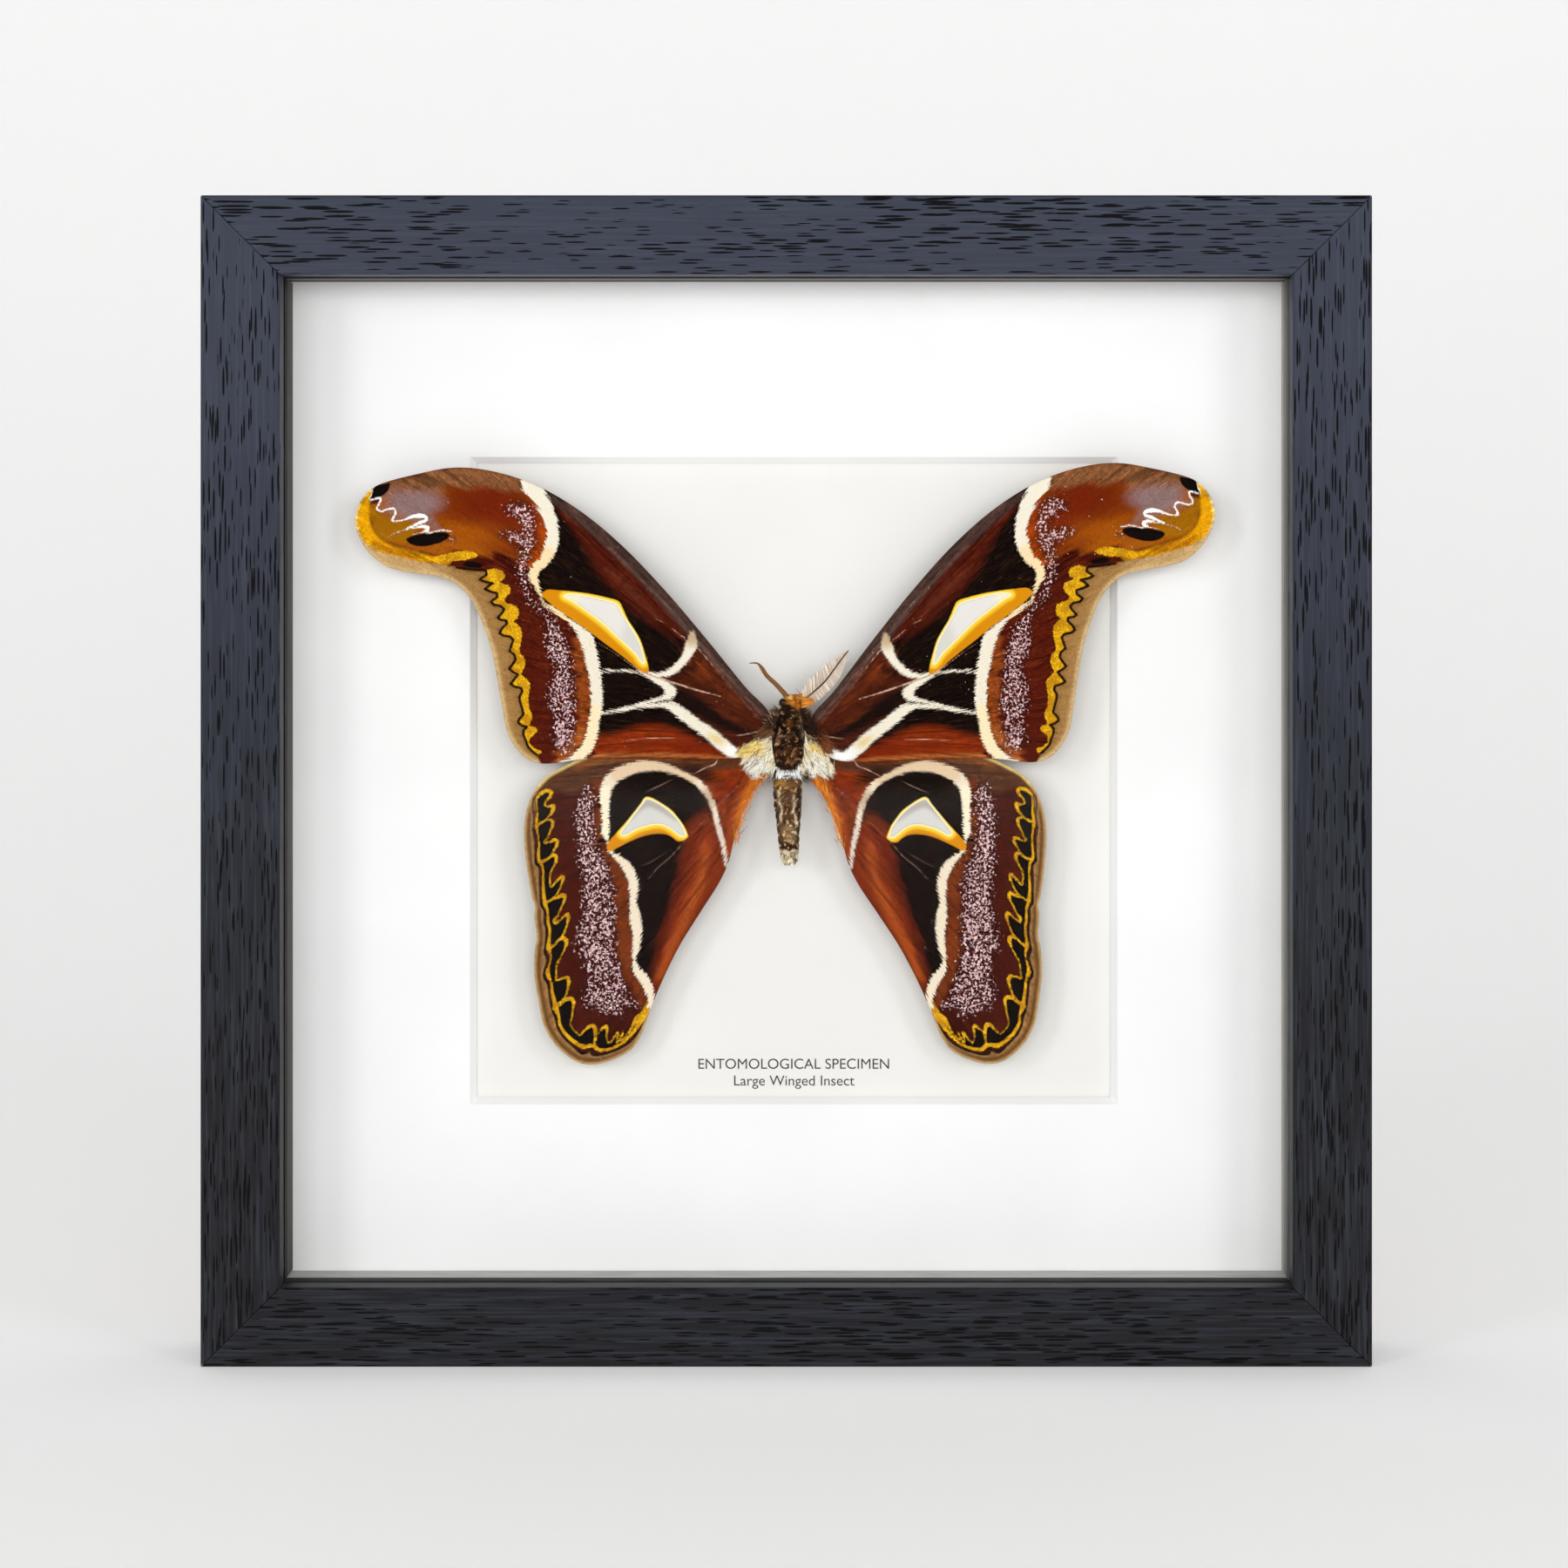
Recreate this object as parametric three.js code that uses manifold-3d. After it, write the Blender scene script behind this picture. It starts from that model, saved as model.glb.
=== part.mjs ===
// Framed moth specimen: a spread giant silk moth behind glass in a deep square wooden frame.
// Millimetres, +Z up. The front faces -Y and the origin is the middle of the frame's underside.

import * as THREE from "three";
import Module from "manifold-3d";
import { mergeVertices } from "three/addons/utils/BufferGeometryUtils.js";

const wasm = await Module();
wasm.setup();

// Frame
const frameSide = 280;
const frameDepth = 35;
const railFace = 19;
const wallThickness = 13;
const lipDepth = 7;
const edgeRound = 0.9;
const mitreGap = 0.2;
const fitGap = 0.3;

// Layers behind the lip, from front to back
const glassThickness = 2;
const spacerDepth = 14.1;
const matThickness = 1.5;
const cardThickness = 1.5;
const boardThickness = 3;

// Window in the mat
const windowSide = 158.5;
const windowBevel = 1.5;
const windowX = 1.6;
const windowZ = 138.9;

// Hardware on the back
const tabLength = 14;
const tabWidth = 9;
const tabThickness = 0.5;
const tabSpread = 70;
const hangerLength = 60;
const hangerHeight = 9;
const hangerLift = 1.2;
const hangerThickness = 1;
const hangerBelowTop = 32;
const toothPitch = 4;
const toothDepth = 2.2;
const rivetRadius = 2.4;
const rivetHeight = 1.1;

// Specimen
const wingThickness = 0.6;
const forewingLevel = -2.5;
const forewingTipRise = 1;
const hindwingLevel = -1.1;
const hindwingTipDrop = 0.8;
const wingGrid = 6;
const antennaLevel = -3.4;
const antennaThickness = 0.6;
const riserWidth = 6;
const riserHeight = 9;
const riserX = 0.4;
const riserZ = 149.5;

// Places that follow from the sizes above
const middle = frameSide / 2;
const front = -frameDepth / 2;
const sightHalf = middle - railFace;
const rebateHalf = middle - wallThickness;
const panelSide = 2 * (rebateHalf - fitGap);
const glassFront = front + lipDepth + fitGap;
const spacerFront = glassFront + glassThickness + fitGap;
const matFront = spacerFront + spacerDepth + fitGap;
const cardFront = matFront + matThickness + fitGap;
const boardFront = cardFront + cardThickness + fitGap;
const tabFront = boardFront + boardThickness + fitGap;

// Left forewing outline as [x, z], from the root along the leading edge and back
const forewingOutline = [
  [-4, 155.2], [-10, 162], [-20, 174.3], [-30, 186], [-40, 196.4], [-50, 204.7], [-60, 210.6],
  [-70, 214.1], [-80, 215.3], [-90, 213.6], [-99.5, 210.8], [-102.2, 208.6], [-103.8, 206.2],
  [-104.6, 203.5], [-104.6, 201.3], [-103.8, 198.8], [-102, 195.6], [-99.5, 193], [-96.5, 191.1],
  [-92, 190], [-87, 189.3], [-83.5, 188.6], [-80.5, 187.3], [-76.5, 183.3], [-73.8, 177.6],
  [-71.7, 171.5], [-70.3, 164.8], [-69, 157.3], [-67.9, 151.5], [-66.9, 149.2], [-65.3, 146.8],
  [-63.3, 144.9], [-61, 143.8], [-58, 143.5], [-48, 144.7], [-30, 144.8], [-13, 144.8],
  [-7.5, 146], [-4, 148],
];

// Left hindwing outline as [x, z], from the root along the edge under the forewing and back
const hindwingOutline = [
  [-5, 146], [-20, 148], [-35, 148.5], [-45, 146.8], [-51, 144.3], [-55, 142.3], [-58, 140.5],
  [-60.3, 138.3], [-62, 135.6], [-63.2, 132.3], [-63.8, 128.5], [-63.8, 124.5], [-62.9, 116.5],
  [-61.7, 110.3], [-61.2, 108.9], [-61.3, 106], [-60.8, 101], [-61.2, 98.5], [-61.4, 92.5],
  [-60.5, 86.3], [-59.2, 80.2], [-58.1, 77.7], [-56.4, 75.2], [-54.2, 73], [-51.8, 71.3],
  [-49.5, 70.4], [-47.5, 70.2], [-45, 70.5], [-42.3, 71.4], [-39.5, 72.7], [-37.5, 74.2],
  [-36, 76.3], [-34.8, 78.8], [-33, 84], [-30.3, 90.6], [-26, 99.3], [-20.7, 107.8],
  [-16.4, 114.6], [-14.2, 119.4], [-12.9, 124.7], [-10.8, 131.4], [-8, 137], [-4.5, 142],
];

// The right wings mirror the left ones and are spread at a slightly different angle.
// Each pair of rows gives the right x and z from the left x, z and 1.
const forewingMirror = [[-0.983, -0.0201, 4.94], [-0.0252, 1.0032, -1.588]];
const hindwingMirror = [[-0.9723, -0.0409, 6.086], [-0.0245, 1.0012, -1.055]];

// Cross-sections of the body from the brow to the tail as [z, centre x, centre y, half width, half depth]
const bodySections = [
  [160.4, 2, -2.2, 0.9, 0.9], [159.6, 1.9, -2.1, 2, 1.9], [158.2, 1.6, -2, 2.7, 2.6],
  [156.6, 1.2, -1.9, 2.9, 2.9], [155.6, 0.9, -1.8, 3.1, 3.2], [153.6, 0.6, -1.8, 4.2, 4.3],
  [150, 0.4, -1.8, 4.7, 4.9], [146, 0.4, -1.8, 4.4, 4.6], [143.4, 0.4, -1.8, 3.8, 4],
  [141.5, 0.3, -1.7, 3.4, 3.4], [139, 0.15, -1.6, 3.7, 3.6], [135, 0.2, -1.6, 3.7, 3.5],
  [131, 0.3, -1.6, 3.3, 3.2], [127, 0.4, -1.6, 2.9, 2.9], [123, 0.5, -1.6, 2.6, 2.6],
  [120.4, 0.6, -1.6, 2.3, 2.3], [119, 0.6, -1.6, 1.3, 1.4],
];
const bodySides = 16;
const eyeRadius = 1.25;
const eyeCentres = [[-0.9, -2.6, 158.3], [3.9, -2.6, 157.1]];

// Folded left antenna as a middle line, and the open right one as an outline, both [x, z]
const leftAntennaLine = [
  [0.4, 160], [-1.8, 161.2], [-4.7, 164], [-5.7, 166], [-6.7, 167.8], [-9.3, 168.1],
];
const leftAntennaWidth = 0.9;
const rightAntennaOutline = [
  [3, 160.4], [4, 163], [6, 165.5], [8.4, 167.6], [11.6, 169.6], [14.8, 171], [13.8, 168],
  [12.6, 164.4], [10.6, 160.9], [8, 158.9], [5.4, 158.8],
];

const finishes = {
  wood: { color: 0x3b3c42, roughness: 0.55, metalness: 0 },
  glass: { color: 0xf2f5f5, roughness: 0.05, metalness: 0, transparent: true, opacity: 0.12 },
  mat: { color: 0xf4f3f2, roughness: 0.95, metalness: 0 },
  spacer: { color: 0xc9c7c6, roughness: 0.9, metalness: 0 },
  fibreboard: { color: 0x8a6a48, roughness: 0.85, metalness: 0 },
  steel: { color: 0x9a9da1, roughness: 0.35, metalness: 1 },
  wing: { color: 0x6b2412, roughness: 0.8, metalness: 0 },
  fur: { color: 0x3a2618, roughness: 1, metalness: 0 },
  antenna: { color: 0x8a5a34, roughness: 0.9, metalness: 0 },
  foam: { color: 0xefefec, roughness: 0.9, metalness: 0 },
};

const specimen = new THREE.Group();

function add(name, geometry, finish) {
  const mesh = new THREE.Mesh(geometry, new THREE.MeshStandardMaterial(finishes[finish]));
  mesh.name = name;
  specimen.add(mesh);
  return mesh;
}

// A three.js geometry as a solid that can be cut and joined
function solidOf(geometry) {
  const bare = new THREE.BufferGeometry();
  bare.setAttribute("position", geometry.getAttribute("position"));
  bare.setIndex(geometry.getIndex());
  const welded = mergeVertices(bare, 1e-4);
  const vertProperties = new Float32Array(welded.getAttribute("position").array);
  const triVerts = new Uint32Array(welded.getIndex().array);
  return new wasm.Manifold(new wasm.Mesh({ numProp: 3, vertProperties, triVerts }));
}

function geometryOf(solid) {
  const mesh = solid.getMesh();
  const positions = new Float32Array(mesh.numVert * 3);
  for (let i = 0; i < mesh.numVert; i += 1) {
    for (let k = 0; k < 3; k += 1) positions[3 * i + k] = mesh.vertProperties[i * mesh.numProp + k];
  }
  const geometry = new THREE.BufferGeometry();
  geometry.setAttribute("position", new THREE.BufferAttribute(positions, 3));
  geometry.setIndex(new THREE.BufferAttribute(new Uint32Array(mesh.triVerts), 1));
  geometry.computeVertexNormals();
  return geometry;
}

function box(x0, x1, y0, y1, z0, z1) {
  const geometry = new THREE.BoxGeometry(x1 - x0, y1 - y0, z1 - z0);
  geometry.translate((x0 + x1) / 2, (y0 + y1) / 2, (z0 + z1) / 2);
  return geometry;
}

// A flat outline of [x, z] points made solid from y0 to y1
function plate(points, y0, y1) {
  const shape = new THREE.Shape(points.map(([x, z]) => new THREE.Vector2(x, z)));
  const geometry = new THREE.ExtrudeGeometry(shape, { depth: y1 - y0, bevelEnabled: false });
  geometry.rotateX(Math.PI / 2);
  geometry.translate(0, y1, 0);
  return geometry;
}

function smoothLoop(points, perPoint) {
  const corners = points.map(([x, z]) => new THREE.Vector3(x, 0, z));
  const curve = new THREE.CatmullRomCurve3(corners, true, "centripetal");
  return curve.getPoints(points.length * perPoint).slice(0, -1).map((p) => [p.x, p.z]);
}

// Points of a quarter round between two edges, from angle a to angle a + 90 degrees
function quarterRound(cx, cy, radius, startAngle) {
  const steps = 3;
  const points = [];
  for (let i = 0; i <= steps; i += 1) {
    const angle = startAngle + (i / steps) * (Math.PI / 2);
    points.push([cx + radius * Math.cos(angle), cy + radius * Math.sin(angle)]);
  }
  return points;
}

// The rail's L section as [distance in from the outer side, y]
function railSection() {
  const r = edgeRound;
  const back = -front;
  const lipBack = front + lipDepth;
  return [
    ...quarterRound(r, front + r, r, Math.PI),
    ...quarterRound(railFace - r, front + r, r, -Math.PI / 2),
    [railFace, lipBack],
    [wallThickness, lipBack],
    [wallThickness, back - r / 2],
    [wallThickness - r / 2, back],
    [r / 2, back],
    [0, back - r / 2],
  ];
}

// The bottom rail: its section drawn out along x, with both ends cut at 45 degrees
function mitredRail() {
  const section = railSection();
  const count = section.length;
  const positions = [];
  for (const side of [-1, 1]) {
    for (const [inward, y] of section) positions.push(side * (middle - inward - mitreGap / 2), y, inward);
  }
  const caps = THREE.ShapeUtils.triangulateShape(section.map(([u, v]) => new THREE.Vector2(u, v)), []);
  const faces = [];
  for (const [a, b, c] of caps) {
    faces.push(a, b, c);
    faces.push(count + a, count + c, count + b);
  }
  for (let i = 0; i < count; i += 1) {
    const j = (i + 1) % count;
    faces.push(i, count + i, j);
    faces.push(j, count + i, count + j);
  }
  const geometry = new THREE.BufferGeometry();
  geometry.setAttribute("position", new THREE.Float32BufferAttribute(positions, 3));
  geometry.setIndex(faces);
  geometry.computeVertexNormals();
  return geometry;
}

function addFrame() {
  const turns = { bottom: 0, right: 1, top: 2, left: 3 };
  for (const [side, quarterTurns] of Object.entries(turns)) {
    const geometry = mitredRail();
    geometry.translate(0, 0, -middle);
    geometry.rotateY((-quarterTurns * Math.PI) / 2);
    geometry.translate(0, 0, middle);
    add(`frame_rail_${side}`, geometry, "wood");
  }
}

function panel(y0, thickness) {
  const half = panelSide / 2;
  return box(-half, half, y0, y0 + thickness, middle - half, middle + half);
}

function addSpacers() {
  const outer = panelSide / 2;
  const back = spacerFront + spacerDepth;
  const inner = sightHalf;
  const short = inner - fitGap;
  const below = [middle - outer, middle - inner];
  const above = [middle + inner, middle + outer];
  add("spacer_bottom", box(-outer, outer, spacerFront, back, ...below), "spacer");
  add("spacer_top", box(-outer, outer, spacerFront, back, ...above), "spacer");
  add("spacer_left", box(-outer, -inner, spacerFront, back, middle - short, middle + short), "spacer");
  add("spacer_right", box(inner, outer, spacerFront, back, middle - short, middle + short), "spacer");
}

// The mat's window is cut at 45 degrees, so it is widest at the front
function addMat() {
  const overshoot = 1;
  const slope = windowBevel / matThickness;
  const frontHalf = windowSide / 2 + overshoot * slope;
  const backHalf = windowSide / 2 - windowBevel - overshoot * slope;
  const length = matThickness + 2 * overshoot;
  const cutter = new THREE.CylinderGeometry(
    backHalf * Math.SQRT2, frontHalf * Math.SQRT2, length, 4, 1, false, Math.PI / 4,
  );
  cutter.translate(windowX, matFront + matThickness / 2, windowZ);
  add("mat_board", geometryOf(solidOf(panel(matFront, matThickness)).subtract(solidOf(cutter))), "mat");
}

function addPanels() {
  add("glass_pane", panel(glassFront, glassThickness), "glass");
  addSpacers();
  addMat();
  add("backing_card", panel(cardFront, cardThickness), "mat");
  add("backboard", panel(boardFront, boardThickness), "fibreboard");
}

// A steel tab lies on the backboard and points in from the rebate wall
function tabGeometry() {
  const end = rebateHalf - fitGap;
  const half = tabWidth / 2;
  const nose = 2.5;
  const tip = end - tabLength;
  return plate(
    [[end, -half], [end, half], [tip + nose, half], [tip, half - nose], [tip, nose - half], [tip + nose, -half]],
    tabFront, tabFront + tabThickness,
  );
}

function addTabs() {
  let number = 0;
  for (let side = 0; side < 4; side += 1) {
    for (const along of [-tabSpread, tabSpread]) {
      number += 1;
      const geometry = tabGeometry();
      geometry.translate(0, 0, along);
      geometry.rotateY((side * Math.PI) / 2);
      geometry.translate(0, 0, middle);
      add(`retaining_tab_${number}`, geometry, "steel");
    }
  }
}

// A toothed steel strip that stands off the backboard between its two riveted feet
function addHanger() {
  const half = hangerLength / 2;
  const foot = 8;
  const bend = 2;
  const low = tabFront;
  const high = tabFront + hangerLift + hangerThickness;
  const strip = [
    [-half, low], [-half + foot, low], [-half + foot + bend, low + hangerLift],
    [half - foot - bend, low + hangerLift], [half - foot, low], [half, low],
    [half, low + hangerThickness], [half - foot, low + hangerThickness],
    [half - foot - bend, high], [-half + foot + bend, high],
    [-half + foot, low + hangerThickness], [-half, low + hangerThickness],
  ];
  const shape = new THREE.Shape(strip.map(([x, y]) => new THREE.Vector2(x, y)));
  const geometry = new THREE.ExtrudeGeometry(shape, { depth: hangerHeight, bevelEnabled: false });
  const bottom = frameSide - hangerBelowTop - hangerHeight;
  geometry.translate(0, 0, bottom);
  let solid = solidOf(geometry);
  const teeth = Math.floor((hangerLength - 2 * (foot + bend)) / toothPitch);
  for (let i = 0; i < teeth; i += 1) {
    const x = (i - (teeth - 1) / 2) * toothPitch;
    const wide = toothPitch * 0.45;
    const notch = [[x - wide, bottom - 1], [x + wide, bottom - 1], [x, bottom + toothDepth]];
    solid = solid.subtract(solidOf(plate(notch, low - 1, high + 1)));
  }
  add("sawtooth_hanger", geometryOf(solid), "steel");
  for (const [side, x] of [["left", -half + foot / 2], ["right", half - foot / 2]]) {
    const rivet = new THREE.CylinderGeometry(rivetRadius * 0.6, rivetRadius, rivetHeight, 16);
    const y = low + hangerThickness + fitGap + rivetHeight / 2;
    rivet.translate(x, y, bottom + hangerHeight / 2);
    add(`hanger_rivet_${side}`, rivet, "steel");
  }
}

// The body, or a copy of it grown by some clearance
function bodySolid(clearance) {
  const positions = [];
  const faces = [];
  const rings = bodySections.length;
  const top = bodySections[0];
  const tail = bodySections[rings - 1];
  for (const [z, cx, cy, halfWidth, halfDepth] of bodySections) {
    for (let i = 0; i < bodySides; i += 1) {
      const angle = (i / bodySides) * 2 * Math.PI;
      const x = cx + (halfWidth + clearance) * Math.cos(angle);
      const y = cy + (halfDepth + clearance) * Math.sin(angle);
      positions.push(x, y, z);
    }
  }
  positions.push(top[1], top[2], top[0] + 0.4 + clearance);
  positions.push(tail[1], tail[2], tail[0] - 0.5 - clearance);
  const topPoint = rings * bodySides;
  for (let i = 0; i < bodySides; i += 1) {
    const j = (i + 1) % bodySides;
    for (let ring = 0; ring < rings - 1; ring += 1) {
      const a = ring * bodySides;
      const b = a + bodySides;
      faces.push(a + i, b + i, a + j);
      faces.push(a + j, b + i, b + j);
    }
    const last = (rings - 1) * bodySides;
    faces.push(topPoint, i, j);
    faces.push(topPoint + 1, last + j, last + i);
  }
  const geometry = new THREE.BufferGeometry();
  geometry.setAttribute("position", new THREE.Float32BufferAttribute(positions, 3));
  geometry.setIndex(faces);
  let solid = solidOf(geometry);
  for (const [x, y, z] of eyeCentres) {
    const eye = new THREE.SphereGeometry(eyeRadius + clearance, 12, 8);
    eye.translate(x, y, z);
    solid = solid.add(solidOf(eye));
  }
  return solid;
}

// A closed grid over the box of an outline, bent by a height function of x and z
function bentSheet(outline, height) {
  const margin = 1;
  const xs = outline.map((p) => p[0]);
  const zs = outline.map((p) => p[1]);
  const x0 = Math.min(...xs) - margin;
  const z0 = Math.min(...zs) - margin;
  const width = Math.max(...xs) + margin - x0;
  const tall = Math.max(...zs) + margin - z0;
  const columns = Math.ceil(width / wingGrid);
  const rows = Math.ceil(tall / wingGrid);
  const geometry = new THREE.BoxGeometry(width, wingThickness, tall, columns, 1, rows);
  geometry.translate(x0 + width / 2, 0, z0 + tall / 2);
  const position = geometry.getAttribute("position");
  for (let i = 0; i < position.count; i += 1) {
    position.setY(i, position.getY(i) + height(position.getX(i), position.getZ(i)));
  }
  return geometry;
}

function wingGeometry(outline, height, clearance) {
  const deep = 8;
  const edge = solidOf(plate(smoothLoop(outline, 2), -deep, deep));
  const wing = solidOf(bentSheet(outline, height)).intersect(edge).subtract(clearance);
  return geometryOf(wing);
}

function mirrored(points, [rowX, rowZ]) {
  const turned = points.map(([x, z]) => [
    rowX[0] * x + rowX[1] * z + rowX[2],
    rowZ[0] * x + rowZ[1] * z + rowZ[2],
  ]);
  return turned.reverse();
}

function forewingHeight(x) {
  return forewingLevel - forewingTipRise * (x / 100) ** 2;
}

function hindwingHeight(x, z) {
  return hindwingLevel + hindwingTipDrop * ((142 - z) / 72) ** 2;
}

function addWings() {
  const clearance = bodySolid(fitGap);
  const rightFore = mirrored(forewingOutline, forewingMirror);
  const rightHind = mirrored(hindwingOutline, hindwingMirror);
  add("forewing_left", wingGeometry(forewingOutline, forewingHeight, clearance), "wing");
  add("forewing_right", wingGeometry(rightFore, forewingHeight, clearance), "wing");
  add("hindwing_left", wingGeometry(hindwingOutline, hindwingHeight, clearance), "wing");
  add("hindwing_right", wingGeometry(rightHind, hindwingHeight, clearance), "wing");
}

// A strip of even width along a middle line of [x, z] points
function ribbonOutline(line, width) {
  const curve = new THREE.SplineCurve(line.map(([x, z]) => new THREE.Vector2(x, z)));
  const steps = 14;
  const left = [];
  const right = [];
  for (let i = 0; i <= steps; i += 1) {
    const point = curve.getPoint(i / steps);
    const along = curve.getTangent(i / steps);
    const half = (width / 2) * (1 - 0.5 * (i / steps));
    left.push([point.x - along.y * half, point.y + along.x * half]);
    right.push([point.x + along.y * half, point.y - along.x * half]);
  }
  return [...left, ...right.reverse()];
}

function addAntennae() {
  const clearance = bodySolid(fitGap);
  const y0 = antennaLevel - antennaThickness / 2;
  const y1 = antennaLevel + antennaThickness / 2;
  const leftPlate = plate(ribbonOutline(leftAntennaLine, leftAntennaWidth), y0, y1);
  const rightPlate = plate(smoothLoop(rightAntennaOutline, 2), y0, y1);
  add("antenna_left", geometryOf(solidOf(leftPlate).subtract(clearance)), "antenna");
  add("antenna_right", geometryOf(solidOf(rightPlate).subtract(clearance)), "antenna");
}

// The block's front is hollowed to the thorax that it carries
function addRiser() {
  const x0 = riserX - riserWidth / 2;
  const z0 = riserZ - riserHeight / 2;
  const block = box(x0, x0 + riserWidth, 0, cardFront - fitGap, z0, z0 + riserHeight);
  add("specimen_riser", geometryOf(solidOf(block).subtract(bodySolid(fitGap))), "foam");
}

addFrame();
addPanels();
addTabs();
addHanger();
add("moth_body", geometryOf(bodySolid(0)), "fur");
addWings();
addAntennae();
addRiser();

export default specimen;
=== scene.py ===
"""Looks of the framed moth specimen: camera, light, materials and the fine meshes of the moth.

Lengths are written in millimetres and scaled to metres when a mesh is made.
"""

import math

import bpy
import numpy as np
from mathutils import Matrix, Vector
from mathutils.geometry import delaunay_2d_cdt


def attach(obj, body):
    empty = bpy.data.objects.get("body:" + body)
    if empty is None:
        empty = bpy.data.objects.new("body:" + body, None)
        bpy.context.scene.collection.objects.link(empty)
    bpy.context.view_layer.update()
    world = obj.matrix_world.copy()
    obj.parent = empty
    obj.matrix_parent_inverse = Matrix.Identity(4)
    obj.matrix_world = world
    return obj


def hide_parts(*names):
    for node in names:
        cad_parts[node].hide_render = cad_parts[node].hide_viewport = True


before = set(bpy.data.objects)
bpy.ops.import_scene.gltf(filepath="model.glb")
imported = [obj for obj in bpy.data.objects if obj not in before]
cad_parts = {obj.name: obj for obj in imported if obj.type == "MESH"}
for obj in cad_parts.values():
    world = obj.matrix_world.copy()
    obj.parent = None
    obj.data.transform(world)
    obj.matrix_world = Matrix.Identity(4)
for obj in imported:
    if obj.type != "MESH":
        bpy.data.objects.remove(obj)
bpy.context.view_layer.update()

MM = 0.001
BODY = "root"

# Photograph frame that the camera is set up for
PHOTO_SIDE = 1800
FOCAL_PX = 4567
AXIS_PX = (943, 665)
CAMERA_MM = (8.4, -967.5, 188.2)
SENSOR_MM = 36.0


def srgb(red, green, blue):
    """A colour given in 0 to 255 as the linear values that shaders take."""
    values = np.array([red, green, blue]) / 255.0
    return np.where(values <= 0.04045, values / 12.92, ((values + 0.055) / 1.055) ** 2.4)


# Curves and distances in the plane of the wings

def between(t, a, b, start, end):
    """The point at t on the straight way from a, at start, to b, at end."""
    return ((end - t) * a + (t - start) * b) / (end - start)


def spline(points, closed=False, steps=6):
    """Centripetal Catmull-Rom curve through rows of numbers; the first two columns are x and z."""
    rows = np.array(points, float)
    count = len(rows)
    if closed:
        padded = np.vstack([rows[-1:], rows, rows[:2]])
    else:
        padded = np.vstack([2 * rows[:1] - rows[1:2], rows, 2 * rows[-1:] - rows[-2:-1]])
    out = []
    for i in range(count if closed else count - 1):
        p0, p1, p2, p3 = padded[i:i + 4]
        knots = [0.0]
        for a, b in ((p0, p1), (p1, p2), (p2, p3)):
            knots.append(knots[-1] + max(np.linalg.norm((b - a)[:2]) ** 0.5, 1e-6))
        k0, k1, k2, k3 = knots
        for t in np.linspace(k1, k2, steps, endpoint=False):
            a1 = between(t, p0, p1, k0, k1)
            a2 = between(t, p1, p2, k1, k2)
            a3 = between(t, p2, p3, k2, k3)
            b1 = between(t, a1, a2, k0, k2)
            b2 = between(t, a2, a3, k1, k3)
            out.append(between(t, b1, b2, k1, k2))
    if not closed:
        out.append(rows[-1])
    return np.array(out)


def segment_distance(where, a, b):
    """Distance from each place to the segment a to b, and how far along it the nearest point is."""
    along = b[:2] - a[:2]
    length = max(float(along @ along), 1e-12)
    share = np.clip(((where - a[:2]) @ along) / length, 0, 1)
    gap = where - (a[:2] + share[:, None] * along)
    return np.hypot(gap[:, 0], gap[:, 1]), share


def ribbon(where, points, smooth=True):
    """Signed distance to a band whose rows are x, z and full width; negative inside."""
    line = spline(points, steps=4) if smooth else np.array(points, float)
    best = np.full(len(where), 1e3)
    for a, b in zip(line, line[1:]):
        distance, share = segment_distance(where, a, b)
        half = 0.5 * (a[2] + share * (b[2] - a[2]))
        best = np.minimum(best, distance - half)
    return best


def nearest(where, bands):
    """Signed distance to the nearest of several bands."""
    return np.minimum.reduce([ribbon(where, points) for points in bands])


def area(where, points, smooth=True):
    """Signed distance to a closed outline; negative inside."""
    loop = spline(points, closed=True, steps=4) if smooth else np.array(points, float)
    best = np.full(len(where), 1e3)
    inside = np.zeros(len(where), bool)
    for a, b in zip(loop, np.roll(loop, -1, axis=0)):
        best = np.minimum(best, segment_distance(where, a, b)[0])
        crosses = (a[1] > where[:, 1]) != (b[1] > where[:, 1])
        rise = (b[1] - a[1]) or 1e-9
        reach = (b[0] - a[0]) * (where[:, 1] - a[1]) / rise + a[0]
        inside ^= crosses & (where[:, 0] < reach)
    return np.where(inside, -best, best)


def blob(where, x, z, wide, tall, turn=0.0):
    """Distance-like value of an ellipse: -1 at its middle, 0 at its rim."""
    angle = math.radians(turn)
    dx, dz = where[:, 0] - x, where[:, 1] - z
    u = (dx * math.cos(angle) + dz * math.sin(angle)) / wide
    v = (-dx * math.sin(angle) + dz * math.cos(angle)) / tall
    return np.hypot(u, v) - 1


def cover(distance, softness):
    """1 inside a shape, 0 outside, with a smooth step as wide as softness."""
    t = np.clip(0.5 - distance / softness, 0, 1)
    return t * t * (3 - 2 * t)


# Usual shift of the soft colours along the rays
RAGGED = 0.8


def ragged(where, root):
    """Places moved to and fro along the rays from the wing root, so that colours end in streaks."""
    away = where - np.array(root)
    ray = np.arctan2(away[:, 1], away[:, 0])
    reach = np.hypot(away[:, 0], away[:, 1])
    rng = np.random.default_rng(21)
    shift = np.zeros(len(where))
    for _ in range(12):
        shift += np.cos(rng.uniform(25, 150) * ray + rng.uniform(-0.12, 0.12) * reach + rng.uniform(0, 7))
    shift *= RAGGED / math.sqrt(6)
    return where + shift[:, None] * np.c_[np.cos(ray), np.sin(ray)]


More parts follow.
